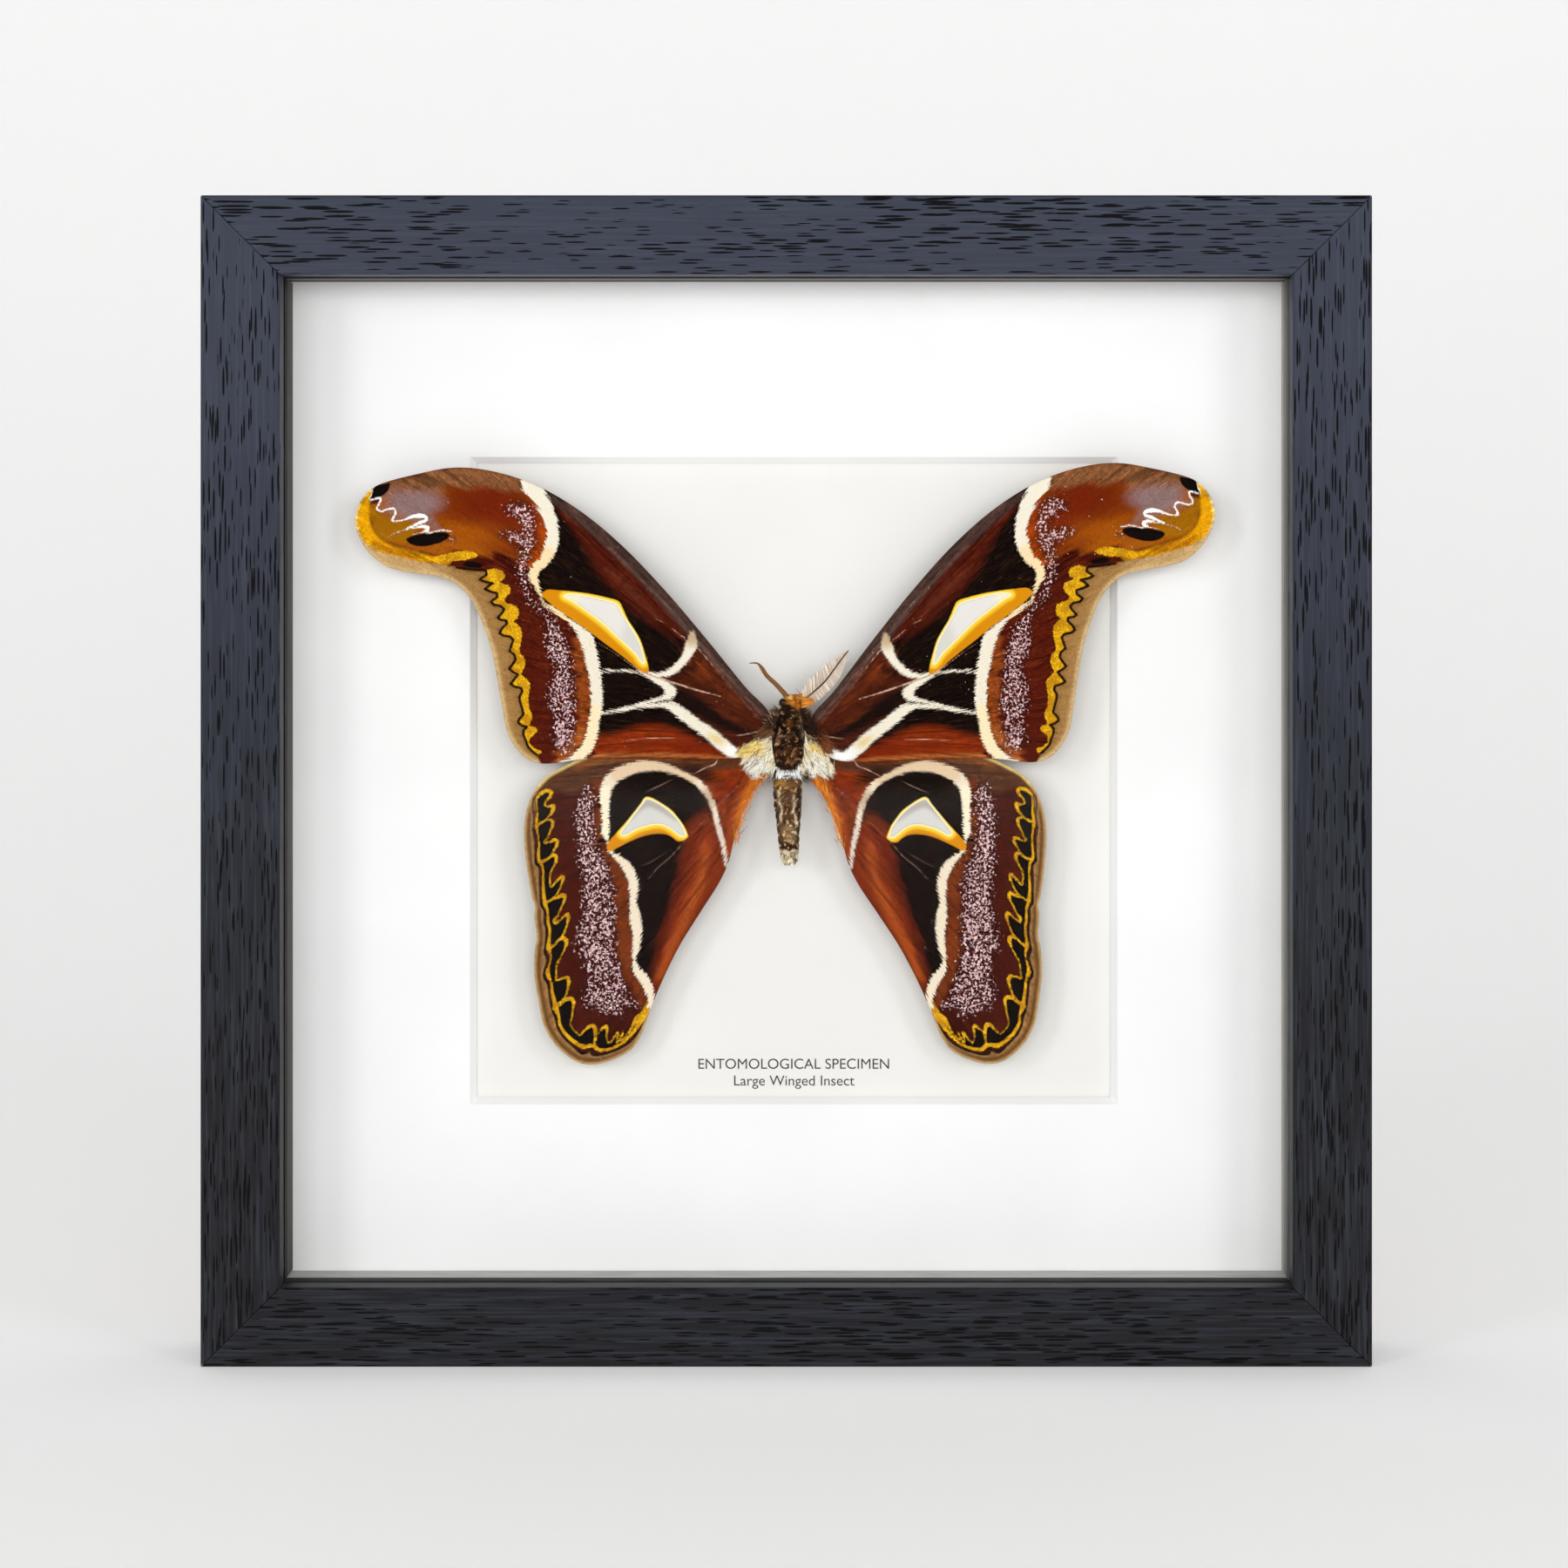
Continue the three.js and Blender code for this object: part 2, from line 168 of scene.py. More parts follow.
class Ground:
    """The soft colours of a wing, painted one over the other."""

    def __init__(self, where, colour):
        self.where = where
        self.colours = np.tile(srgb(*colour), (len(where), 1))

    def blend(self, share, colours):
        self.colours = self.colours * (1 - share[:, None]) + colours * share[:, None]

    def paint(self, distance, softness, colour, strength=1.0):
        self.blend(cover(distance, softness) * strength, srgb(*colour))

    def band(self, points, softness, colour, strength=1.0):
        self.paint(ribbon(self.where, points), softness, colour, strength)

    def field(self, points, softness, colour, strength=1.0, smooth=True):
        self.paint(area(self.where, points, smooth), softness, colour, strength)

    def spot(self, x, z, wide, tall, turn, colour, strength=1.0):
        self.paint(blob(self.where, x, z, wide, tall, turn), 1.6, colour, strength)


# Left forewing: outline and markings as x, z in millimetres, bands with their width

FORE_OUTLINE = [
    (-4, 155.2), (-10, 162), (-20, 174.3), (-30, 186), (-40, 196.4), (-50, 204.7), (-60, 210.6),
    (-70, 214.1), (-80, 215.3), (-90, 213.6), (-99.5, 210.8), (-102.2, 208.6), (-103.8, 206.2),
    (-104.6, 203.5), (-104.6, 201.3), (-103.8, 198.8), (-102, 195.6), (-99.5, 193), (-96.5, 191.1),
    (-92, 190), (-87, 189.3), (-83.5, 188.6), (-80.5, 187.3), (-76.5, 183.3), (-73.8, 177.6),
    (-71.7, 171.5), (-70.3, 164.8), (-69, 157.3), (-67.9, 151.5), (-66.9, 149.2), (-65.3, 146.8),
    (-63.3, 144.9), (-61, 143.8), (-58, 143.5), (-48, 144.7), (-30, 144.8), (-13, 144.8),
    (-7.5, 146), (-4, 148),
]

FORE_POSTMEDIAL = [
    (-61.9, 211.4, 4.8), (-60.3, 208.5, 3.6), (-58.5, 205.6, 3.2), (-57.4, 202.8, 3.1),
    (-56.8, 200, 3.0), (-56.9, 197.2, 3.0), (-57.6, 195, 2.9), (-58.9, 192.6, 2.4),
    (-60.5, 191.2, 2.3), (-61.4, 189.6, 2.2), (-61.3, 188.2, 1.9), (-60.7, 186.8, 1.3),
    (-60.2, 185.6, 0.9), (-59.6, 184.2, 0.5), (-59.1, 182.6, 0.8), (-57, 181.2, 1.0),
    (-55, 179.8, 1.0), (-53, 178.3, 1.1), (-51.2, 176.8, 1.4), (-49.7, 175.2, 2.2),
    (-48.5, 173.3, 3.2), (-47.8, 171, 3.2), (-47.3, 168.5, 3.1), (-46.6, 165, 2.9),
    (-46.1, 161, 2.9), (-46.1, 157.5, 2.7), (-46.6, 154.5, 2.6), (-47.1, 151.5, 2.7),
    (-47.7, 149, 2.8), (-48.9, 146.9, 2.8), (-50.6, 145.2, 2.4), (-52.6, 144.2, 1.4), (-54.5, 143.7, 0.8),
]
FORE_ANTEMEDIAL = [
    (-22.9, 175, 1.0), (-23.0, 173.6, 2.2), (-23.2, 172.2, 2.8), (-23.8, 170.6, 2.3),
    (-24.8, 168.9, 1.9), (-26.2, 167.3, 1.8), (-27.8, 166, 1.7), (-29.6, 165.2, 1.4),
    (-31.6, 165, 0.9), (-33.5, 165.3, 0.6), (-36, 165.8, 0.55), (-40, 165.95, 0.5), (-45, 165.9, 0.45),
]
FORE_FORK = [
    (-34.5, 165.1, 0.5), (-32.6, 164.2, 0.9), (-30.6, 163.2, 1.4), (-29.1, 162.2, 2.0),
    (-28.2, 161, 2.8), (-28.9, 159.9, 1.6), (-30.8, 159.2, 1.0), (-33.5, 158.4, 0.8),
    (-37, 157.5, 0.6), (-41, 156.5, 0.5), (-45, 155.8, 0.45),
]
FORE_BASAL_BAND = [
    (-45, 155.6, 0.4), (-41, 156.3, 0.5), (-37, 157.1, 0.7), (-33, 157.6, 0.9), (-30, 157.8, 1.2),
    (-27.6, 157.2, 2.1), (-26, 156.1, 2.6), (-24, 154.6, 2.7), (-22, 153.1, 2.7), (-20, 151.7, 2.8),
    (-18, 150.2, 2.9), (-16.5, 148.8, 3.0), (-14.8, 147.5, 2.9), (-13.2, 146.2, 2.7),
    (-11.5, 146, 2.2), (-8, 147.6, 2),
]

FORE_AMBER = [
    (-59.4, 184.6), (-58.2, 185.6), (-55, 185.5), (-52, 185.2), (-48, 184.7), (-45, 184.1),
    (-43, 183.6), (-41.5, 183.2), (-40.6, 182.7), (-40, 181.6), (-39.3, 180), (-38.5, 178.3),
    (-37, 176), (-35.8, 174), (-35, 172), (-34.4, 170), (-33.8, 168), (-33.5, 166.5), (-33.6, 165.6),
    (-34.3, 165.3), (-35.5, 165.9), (-37, 167.2), (-39, 168.9), (-41.5, 170.8), (-44, 172.6),
    (-46.5, 174.5), (-48.5, 176), (-50.5, 177.4), (-52.5, 178.8), (-54.5, 180.2), (-56.5, 181.7),
    (-58.3, 183.2),
]
FORE_CLEAR = [
    (-54, 184.1), (-52, 184.5), (-48, 183.9), (-45, 183.2), (-42.5, 182.6), (-41.3, 182), (-40.6, 181),
    (-39.9, 179.5), (-38.9, 178), (-37.6, 176), (-36.3, 173.8), (-35.4, 171.5), (-34.9, 169.5),
    (-34.6, 167.8), (-35.3, 168.3), (-36.5, 170), (-38.5, 172), (-41, 174.3), (-43.5, 176.7),
    (-46, 178.8), (-48.5, 180.6), (-50.5, 182), (-52.5, 183.3),
]

# Wavy black line between the tan margin and the golden band
FORE_WAVE = [
    (-80, 191), (-76, 190.5), (-73, 190.3), (-72.7, 189.3), (-74.4, 188.2), (-73.5, 187.7),
    (-71.2, 187.2), (-72, 186.8), (-73.2, 185.8), (-72, 185.3), (-70.2, 184.8), (-70.2, 183.8),
    (-71.7, 182.8), (-71, 182), (-69.5, 181.8), (-68.5, 181), (-69, 180), (-70.1, 178.9),
    (-69.5, 178.4), (-68, 178.2), (-67.8, 177.5), (-69, 176.3), (-69.6, 175.2), (-68.8, 174.6),
    (-67, 174.3), (-66.3, 173.5), (-66.8, 172), (-67.2, 170.8), (-66, 169.9), (-65.7, 168.7),
    (-66.5, 167.5), (-67.3, 166.5), (-66.3, 165.7), (-65.1, 165.1), (-66, 164), (-67, 162.8),
    (-66, 162.2), (-64.4, 161.8), (-64.1, 161), (-64.8, 159.8), (-64.7, 158.5), (-64.2, 157),
    (-63.8, 155.5), (-65, 154.1), (-65.1, 153.4), (-64.3, 152.8), (-63, 152.4), (-63.9, 151.5),
    (-63.8, 150.3), (-63.2, 149), (-62.8, 147.6), (-61.5, 146.3), (-60.5, 145.6),
]
FORE_WAVE_WIDTH = 0.62
# Inner edge of the golden band, from the bottom up
FORE_GOLD_EDGE = [
    (-59.6, 146), (-59.7, 146.7), (-61.2, 147.2), (-62.3, 148.2), (-62.4, 149.6), (-61.5, 150.5),
    (-60.5, 151.3), (-60.8, 152.2), (-62.3, 152.6), (-62.4, 153.2), (-61.7, 154.3), (-61.8, 155.6),
    (-62.5, 156.8), (-62.7, 159.5), (-62.4, 161.2), (-62.2, 162.9), (-63.2, 164.2), (-64.6, 165.2),
    (-63.8, 166.3), (-63.4, 168), (-63.7, 169.5), (-64.8, 170.2), (-64.8, 171.5), (-64.4, 173.2),
    (-64.2, 174.9), (-64.5, 176.3), (-65.5, 177.5), (-66.4, 178), (-65.3, 178.7), (-64.9, 180),
    (-65.3, 181.4), (-66.6, 182), (-68.2, 182.4), (-68.5, 183.4), (-67.5, 184.4), (-66.9, 185.4),
    (-67.3, 186.6), (-69.3, 187.3), (-70, 187.5), (-68.6, 188.2), (-68.3, 189.2), (-69, 190.3),
    (-71, 190.8),
]
FORE_STREAK = [
    (-86, 193.4), (-83, 194.2), (-81, 194.7), (-77.5, 195), (-75.7, 194.6), (-74.9, 194),
    (-76, 193.4), (-79, 192.8), (-82, 192.6), (-84, 192.9),
]
FORE_TAN_TOP = [
    (-104.9, 201), (-103.4, 198.8), (-101.6, 196.6), (-99, 195.1), (-96, 194.2), (-93, 193.5),
    (-90, 192.7), (-87, 192.2), (-84, 191.9), (-81, 191.3),
]

FORE_BLACK_BLOCK = [
    (-99.9, 210.8), (-98, 211.2), (-96.2, 211.5), (-96.5, 209.9), (-97.5, 208.8), (-98.9, 208),
    (-101.2, 207), (-100.6, 208.6),
]
FORE_BLACK_SPOT = [
    (-92.3, 197.9), (-90.5, 198.8), (-88, 199.3), (-85, 199.6), (-82.5, 199.5), (-81.7, 198.9),
    (-83, 197.6), (-85, 196.8), (-87.5, 196.2), (-90, 196.3), (-91.6, 197),
]
FORE_BLACK_DASH = [
    (-78.6, 191.9), (-77, 192.6), (-74.5, 192.1), (-73.6, 191.3), (-76, 191), (-78, 191.4),
]
FORE_WHITE = [
    (-100.1, 210.6, 0.35), (-100.8, 208.3, 0.35), (-101.1, 207.3, 0.4), (-99.7, 207.7, 0.5),
    (-98.4, 207.9, 0.6), (-98.6, 206.8, 0.6), (-99.3, 205.4, 0.55), (-98.3, 204.7, 0.55),
    (-96.6, 205.2, 0.55), (-95.2, 205.3, 0.6), (-94.8, 204.3, 0.6), (-95.3, 203.2, 0.6),
    (-95.6, 202.4, 0.6), (-94.2, 202.3, 0.5), (-92.3, 202.8, 0.55), (-90.8, 203.4, 0.9),
    (-88.9, 203.6, 1.2), (-87.5, 203.3, 0.9), (-87.4, 202.5, 0.8), (-88.8, 202, 0.9),
    (-90.5, 201.2, 0.6), (-92.2, 200.4, 0.5), (-90, 200.7, 0.4), (-88, 201, 0.9),
    (-86.9, 200.8, 0.7), (-87.2, 200.1, 1.0), (-88.3, 199.6, 0.4),
]
FORE_WHITE_SPECKS = [
    [(-92.6, 200.2, 0.35), (-93.2, 200, 0.4)], [(-93.8, 199.8, 0.5), (-94.4, 199.6, 0.35)],
    [(-95.1, 199.3, 0.3), (-96.6, 198.4, 0.2)], [(-91.4, 198.9, 0.2), (-88.2, 199.6, 0.35)],
    [(-87.2, 199.3, 0.4), (-83.4, 200.1, 0.45), (-81.4, 199.8, 0.4)],
]

FORE_FROST = [
    [
        (-68, 205, 2.2), (-66, 205.3, 4), (-64.2, 204.8, 5), (-63, 203, 4.6), (-62.4, 201, 3.6),
        (-62.4, 199, 4), (-62.9, 197, 4.6), (-63.3, 195.2, 3.6), (-63.7, 193.5, 3.2),
        (-64.2, 191.5, 3.2), (-64.2, 189.5, 2.8), (-63.6, 187.5, 2.4), (-62.9, 185.5, 2.2),
        (-62.2, 183.5, 2.4), (-60.8, 181.8, 2.2), (-58.8, 180, 2.4), (-57.3, 177.5, 3.4),
        (-56.3, 174.5, 5.2), (-55.8, 171.5, 6.7), (-54.6, 169, 5.2), (-54, 166.5, 4.6),
        (-54.3, 164, 6.2), (-54.6, 161, 7.2), (-54.3, 158, 7.2), (-54, 155, 5.7), (-54, 152.5, 5.7),
        (-54.2, 150, 6.5), (-54, 148, 4.7), (-53.7, 146.3, 2),
    ],
    [(-69, 199, 2), (-66.5, 198.6, 3.4), (-64, 197.8, 4.6)],
    [(-82.2, 198, 1.2), (-80.8, 197.9, 1)],
]

FORE_VEINS = [
    [(-17.4, 166.6, 0.08), (-19, 168.5, 0.2), (-21.5, 171.5, 0.3)],
    [(-24.4, 173.8, 0.22), (-26.2, 174.9, 0.24), (-27.8, 176.3, 0.2)],
    [(-29.8, 177.7, 0.18), (-31.8, 178.6, 0.2)],
    [(-16, 159.8, 0.2), (-22, 161.4, 0.42), (-28, 163.3, 0.42), (-33.8, 165.1, 0.4)],
    [(-12.5, 150.2, 0.2), (-9, 150.8, 0.3), (-5, 151.7, 0.34)],
    [(-40, 149, 0.12), (-34, 149.6, 0.24), (-27, 149.8, 0.2)],
    [(-34.3, 165.4, 0.25), (-37.5, 167.3, 0.2), (-41, 169.8, 0.15), (-46, 173, 0.08)],
]

# Part of the tip where the streaks are faint
FORE_CALM = [(-62, 203, 12), (-80, 202, 18), (-98, 203, 12)]

# Left hindwing

HIND_OUTLINE = [
    (-5, 146), (-20, 148), (-35, 148.5), (-45, 146.8), (-51, 144.3), (-55, 142.3), (-58, 140.5),
    (-60.3, 138.3), (-62, 135.6), (-63.2, 132.3), (-63.8, 128.5), (-63.8, 124.5), (-62.9, 116.5),
    (-61.7, 110.3), (-61.2, 108.9), (-61.3, 106), (-60.8, 101), (-61.2, 98.5), (-61.4, 92.5),
    (-60.5, 86.3), (-59.2, 80.2), (-58.1, 77.7), (-56.4, 75.2), (-54.2, 73), (-51.8, 71.3),
    (-49.5, 70.4), (-47.5, 70.2), (-45, 70.5), (-42.3, 71.4), (-39.5, 72.7), (-37.5, 74.2),
    (-36, 76.3), (-34.8, 78.8), (-33, 84), (-30.3, 90.6), (-26, 99.3), (-20.7, 107.8),
    (-16.4, 114.6), (-14.2, 119.4), (-12.9, 124.7), (-10.8, 131.4), (-8, 137), (-4.5, 142),
]

HIND_ARC = [
    (-43.4, 124.2, 0.6), (-44, 126.5, 1.7), (-44.1, 130, 2.1), (-44.1, 133, 2.2), (-44.1, 136.3, 2.8),
    (-43.2, 138.8, 3.2), (-41.3, 140.7, 3.1), (-38.5, 142, 3.0), (-35, 142.8, 2.8), (-31.5, 142.8, 2.3),
    (-28.3, 142, 1.9), (-25.5, 140.9, 1.6), (-22.8, 139.6, 1.6), (-20.6, 137.8, 1.9),
    (-18.9, 135.3, 1.7), (-17.7, 132.5, 1.6), (-17.1, 129.8, 1.4), (-16.4, 127, 1.4),
    (-15.6, 124.4, 1.3), (-15.1, 121.5, 1.1), (-14.8, 118.8, 0.9),
]
HIND_SCALLOPS = [
    (-43.2, 122.4, 0.6), (-41.8, 121.1, 1.2), (-40.2, 119.8, 1.9), (-38.7, 118.2, 2.4),
    (-37.7, 116, 2.6), (-37.2, 113.8, 2.5), (-37.2, 111.6, 2.1), (-37.4, 110, 1.7),
    (-37, 107.6, 2.5), (-36.6, 104.6, 2.7), (-36.4, 101.5, 2.3), (-36.7, 98.3, 1.8),
    (-37.1, 95.4, 1.2), (-36.7, 93.5, 1.8), (-35.4, 91.8, 2.3), (-34, 89.7, 2.4),
    (-33.2, 87.2, 2.2), (-33, 85, 1.8), (-33, 83.5, 1.0),
]
HIND_AMBER = [
    (-43.8, 122.9), (-43.2, 124.5), (-41, 127), (-39, 129.3), (-37, 131.8), (-35.5, 133.7),
    (-34.6, 135.1), (-33.8, 135.4), (-32, 134.7), (-30, 133.5), (-28, 132.1), (-26.5, 130.3),
    (-25.2, 128.6), (-24.4, 127), (-24.0, 125.7), (-24.6, 125.1), (-25.5, 124.6), (-26.6, 124.6),
    (-27.4, 125.2), (-28.6, 126), (-30, 126.4), (-32, 126.4), (-34, 126.1), (-36, 125.5),
    (-38, 124.6), (-40, 123.6), (-41.5, 122.8), (-42.8, 122.1),
]
HIND_CLEAR = [
    (-40.3, 126.5), (-39, 128.4), (-36.6, 131.6), (-35.1, 133.6), (-34.1, 134.8), (-33, 134.6),
    (-31, 133.6), (-29, 132.2), (-27.1, 130.4), (-25.8, 128.6), (-25, 127), (-24.7, 126),
    (-25.6, 125.9), (-26.6, 126.5), (-28, 127.6), (-30, 128.6), (-32, 128.8), (-34, 128.4),
    (-36, 127.8), (-38, 126.8), (-39.5, 126),
]

# Golden line outside the black lunules, and the hooked one inside them
HIND_OUTER_LINE = [
    (-58.3, 136.9, 0.9), (-60, 136.2, 0.7), (-60.8, 134.5, 0.6), (-60.6, 131.5, 0.6), (-60.9, 128.6, 0.9),
    (-60.4, 126, 0.5), (-60.2, 123, 0.6), (-60.3, 120.3, 0.8), (-59.6, 118.9, 0.7), (-59.2, 117, 0.6),
    (-59.2, 114, 0.7), (-59, 111, 0.9), (-58.7, 109.3, 1.0), (-58.1, 107.6, 0.6), (-58, 105, 0.8),
    (-57.6, 103.2, 0.7), (-57.7, 101, 0.7), (-57.9, 98.6, 1.1), (-57.3, 96.6, 0.5), (-57.8, 94.2, 0.6),
    (-58.1, 92.3, 1.1), (-57.3, 90.5, 0.6), (-57, 88, 0.8), (-56.5, 85.5, 1.0), (-56.1, 83.7, 1.3),
    (-55.4, 82, 0.7), (-55.2, 80.2, 0.8), (-54.2, 78.3, 0.9), (-52.7, 76.6, 1.0), (-51, 75.3, 1.1),
    (-49.3, 74.5, 1.2), (-47.8, 74.9, 1.0), (-46.8, 74.6, 1.1), (-45.5, 73.8, 1.0), (-43.8, 73.9, 0.8),
    (-41.8, 74.5, 0.7), (-40, 75.5, 0.7), (-38.4, 76.9, 0.8), (-37, 78.6, 0.9), (-35.8, 80.4, 1.2),
    (-34.8, 82.5, 1.6), (-33.8, 84.5, 1.2),
]
HIND_HOOKS = [
    (-60.4, 135.2, 0.5), (-59.4, 136.3, 0.8), (-58, 136.9, 1.0), (-57.2, 136.5, 0.9), (-57.6, 135.3, 0.8),
    (-58.5, 134.4, 0.5), (-58.8, 133.3, 0.5), (-57.8, 133, 0.6), (-56.7, 133.2, 1.0), (-56.9, 132, 0.9),
    (-57.8, 130.6, 0.5), (-59, 129.3, 0.5), (-60.8, 128.5, 0.7), (-59.5, 129.3, 0.5), (-58, 129.8, 0.6),
    (-57, 129.6, 0.9), (-56.9, 128.4, 0.8), (-57.6, 126.8, 0.5), (-58.2, 125.3, 0.5), (-58.9, 124.3, 0.5),
    (-57.8, 124.2, 0.5), (-56.6, 124.9, 0.8), (-55.8, 124.8, 0.9), (-55.9, 123.6, 0.8), (-56.6, 122.4, 0.5),
    (-57.4, 120.8, 0.5), (-58.6, 119.8, 0.5), (-60.1, 119.5, 0.6), (-58.4, 120.2, 0.5), (-57.2, 121, 0.6),
    (-56.2, 121.1, 1.0), (-56, 120, 0.9), (-56.6, 118.6, 0.5), (-57.5, 116.7, 0.5), (-57.5, 114.4, 0.5),
    (-57.2, 113.5, 0.5), (-55.8, 115, 0.6), (-54.6, 116.1, 0.8), (-54.3, 115.6, 0.8), (-54.8, 114, 0.5),
    (-55.5, 112.3, 0.5), (-57, 110.6, 0.5), (-58.9, 109.4, 0.6), (-57.2, 110.3, 0.5), (-55.6, 110.9, 0.7),
    (-54.2, 111.6, 1.0), (-53.9, 110.8, 0.9), (-54.3, 109.6, 0.6), (-54.9, 108.3, 0.5), (-55.6, 106.6, 0.5),
    (-56.6, 105.3, 0.8), (-56.4, 104.6, 0.7), (-55.2, 105.3, 0.5), (-54.2, 106.2, 0.6), (-53.3, 106.8, 1.0),
    (-53.1, 105.8, 0.9), (-53.5, 104.2, 0.5), (-54.2, 102.2, 0.5), (-55.3, 100.6, 0.5), (-56.6, 99.2, 0.5),
    (-57.9, 98.4, 0.7), (-56.3, 99.6, 0.5), (-54.9, 100.9, 0.8), (-53.8, 100.9, 1.1), (-53.6, 99.8, 1.0),
    (-54, 98.4, 0.5), (-54.8, 96.6, 0.5), (-55.9, 94.6, 0.5), (-56, 92.3, 0.5), (-56.1, 90.8, 0.6),
    (-54.8, 91.2, 0.6), (-53.4, 91.4, 1.0), (-53, 90.6, 1.0), (-53.3, 88.6, 0.6), (-53.9, 86.7, 0.5),
    (-55, 85.5, 0.5), (-56.7, 83.9, 0.8), (-55, 84.9, 0.6), (-53.8, 86, 0.8), (-52.5, 86.3, 1.1),
    (-51.8, 85.6, 1.0), (-52, 84, 0.6), (-52.2, 82, 0.5), (-52.6, 80, 0.4), (-51.7, 78.6, 0.4),
    (-50.4, 77.5, 0.5), (-49.2, 78.5, 0.6), (-47.8, 79.7, 1.0), (-46.9, 79.6, 1.1), (-46.6, 78.2, 0.9),
    (-46.7, 76.6, 0.5), (-46.7, 75.2, 0.5), (-46.2, 77.3, 0.4), (-45.2, 78.7, 0.5), (-44, 79.6, 0.9),
    (-43.7, 78.9, 0.8), (-43.9, 77, 0.4), (-43.3, 75.4, 0.4), (-42.2, 76.5, 0.5), (-41, 78.1, 0.6),
    (-41.3, 76.5, 0.4), (-41.4, 75.4, 0.4), (-40.3, 76.9, 0.5), (-39.8, 78.3, 0.4), (-40.2, 75.9, 0.3),
    (-38.9, 77.4, 0.4), (-37.6, 79.3, 0.7), (-36.4, 81.4, 1.5), (-35.4, 82.3, 1.2), (-34.2, 83.6, 1.0),
]
# Black line between the tan margin and the golden line
HIND_INK_LINE = [
    (-61.5, 135.2, 0.4), (-61.7, 133, 0.4), (-61.4, 130, 0.35), (-61.7, 127.5, 0.4), (-61.2, 124.5, 0.35),
    (-61.1, 121, 0.4), (-61, 119.3, 0.6), (-60.1, 118.2, 0.5), (-60.1, 115, 0.4), (-59.9, 111.5, 0.4),
    (-59.6, 108.9, 0.6), (-58.9, 107.8, 0.5), (-58.9, 105, 0.45), (-58.4, 103, 0.5), (-58.5, 100.5, 0.45),
    (-58.8, 97.5, 0.6), (-58.2, 95.8, 0.45), (-58.8, 93.5, 0.5), (-59, 91.5, 0.6), (-58.1, 90, 0.5),
    (-57.7, 87, 0.45), (-57.2, 84.3, 0.55), (-56.6, 82.6, 0.7), (-56.1, 81, 0.5), (-55.9, 79.8, 0.5),
    (-54.9, 77.7, 0.5), (-53.3, 75.9, 0.5), (-51.5, 74.3, 0.5), (-49.9, 73, 0.7), (-48.6, 73.2, 0.5),
    (-47.8, 74.0, 0.5), (-47.5, 72.8, 0.5), (-46.3, 72.5, 0.55), (-44.5, 72.8, 0.5), (-42.5, 73.4, 0.5),
    (-40.5, 74.2, 0.5), (-38.5, 75.5, 0.5), (-37, 77, 0.5), (-35.9, 78.8, 0.5), (-35, 80.5, 0.4),
]
HIND_FROST = [
    [
        (-48.2, 137.2, 3), (-48.6, 134.6, 4.8), (-49, 131.5, 5.4), (-49, 128.5, 5.6),
        (-48.8, 125.5, 5.6), (-48.2, 122.5, 6), (-47.6, 119.5, 6.8), (-46.7, 116.5, 7.8),
        (-46, 113.5, 8.3), (-45.8, 110, 8.6), (-45.8, 106, 8.8), (-46.2, 102.5, 9.6),
        (-46, 99.5, 10.2), (-45.3, 96.5, 8.8), (-44.6, 93, 9), (-44.2, 90, 9.8), (-43.6, 87.5, 11),
    ],
    [(-47.5, 88, 4), (-47.8, 85, 3.2)], [(-43, 86.5, 5), (-41.3, 83, 3.2)],
    [(-41.5, 87, 6), (-38.5, 85.3, 3.4), (-36.2, 84.2, 1.6)], [(-51, 99.5, 1.5), (-50, 98, 2)],
]
HIND_VEINS = [
    [(-22.8, 140.8, 0.2), (-20, 142.3, 0.3), (-17.3, 143.5, 0.35), (-16.7, 145, 0.15)],
    [(-28, 139.5, 0.12), (-31, 138, 0.2), (-34.5, 136.4, 0.12)],
    [(-24.8, 124.8, 0.1), (-28, 121, 0.16), (-31.5, 118, 0.14), (-34, 115, 0.06)],
    [(-28.3, 122.4, 0.04), (-33, 119.5, 0.12), (-36, 118.2, 0.04)],
    [(-24.2, 125.3, 0.05), (-21, 128.6, 0.1), (-18.2, 131, 0.05)],
    [(-17, 133, 0.04), (-13.4, 136.6, 0.08), (-9, 141.4, 0.04)],
]

# Distance that stands for a mark which the wing doesn't have
NOWHERE = 9.0

# Where the veins and streaks of a wing start
FORE_ROOT = (2, 150)
HIND_ROOT = (2, 145)

# The right wings mirror the left ones and are spread at a slightly different angle
FORE_MIRROR = np.array([[-0.983, -0.0201, 4.94], [-0.0252, 1.0032, -1.588]])
HIND_MIRROR = np.array([[-0.9723, -0.0409, 6.086], [-0.0245, 1.0012, -1.055]])


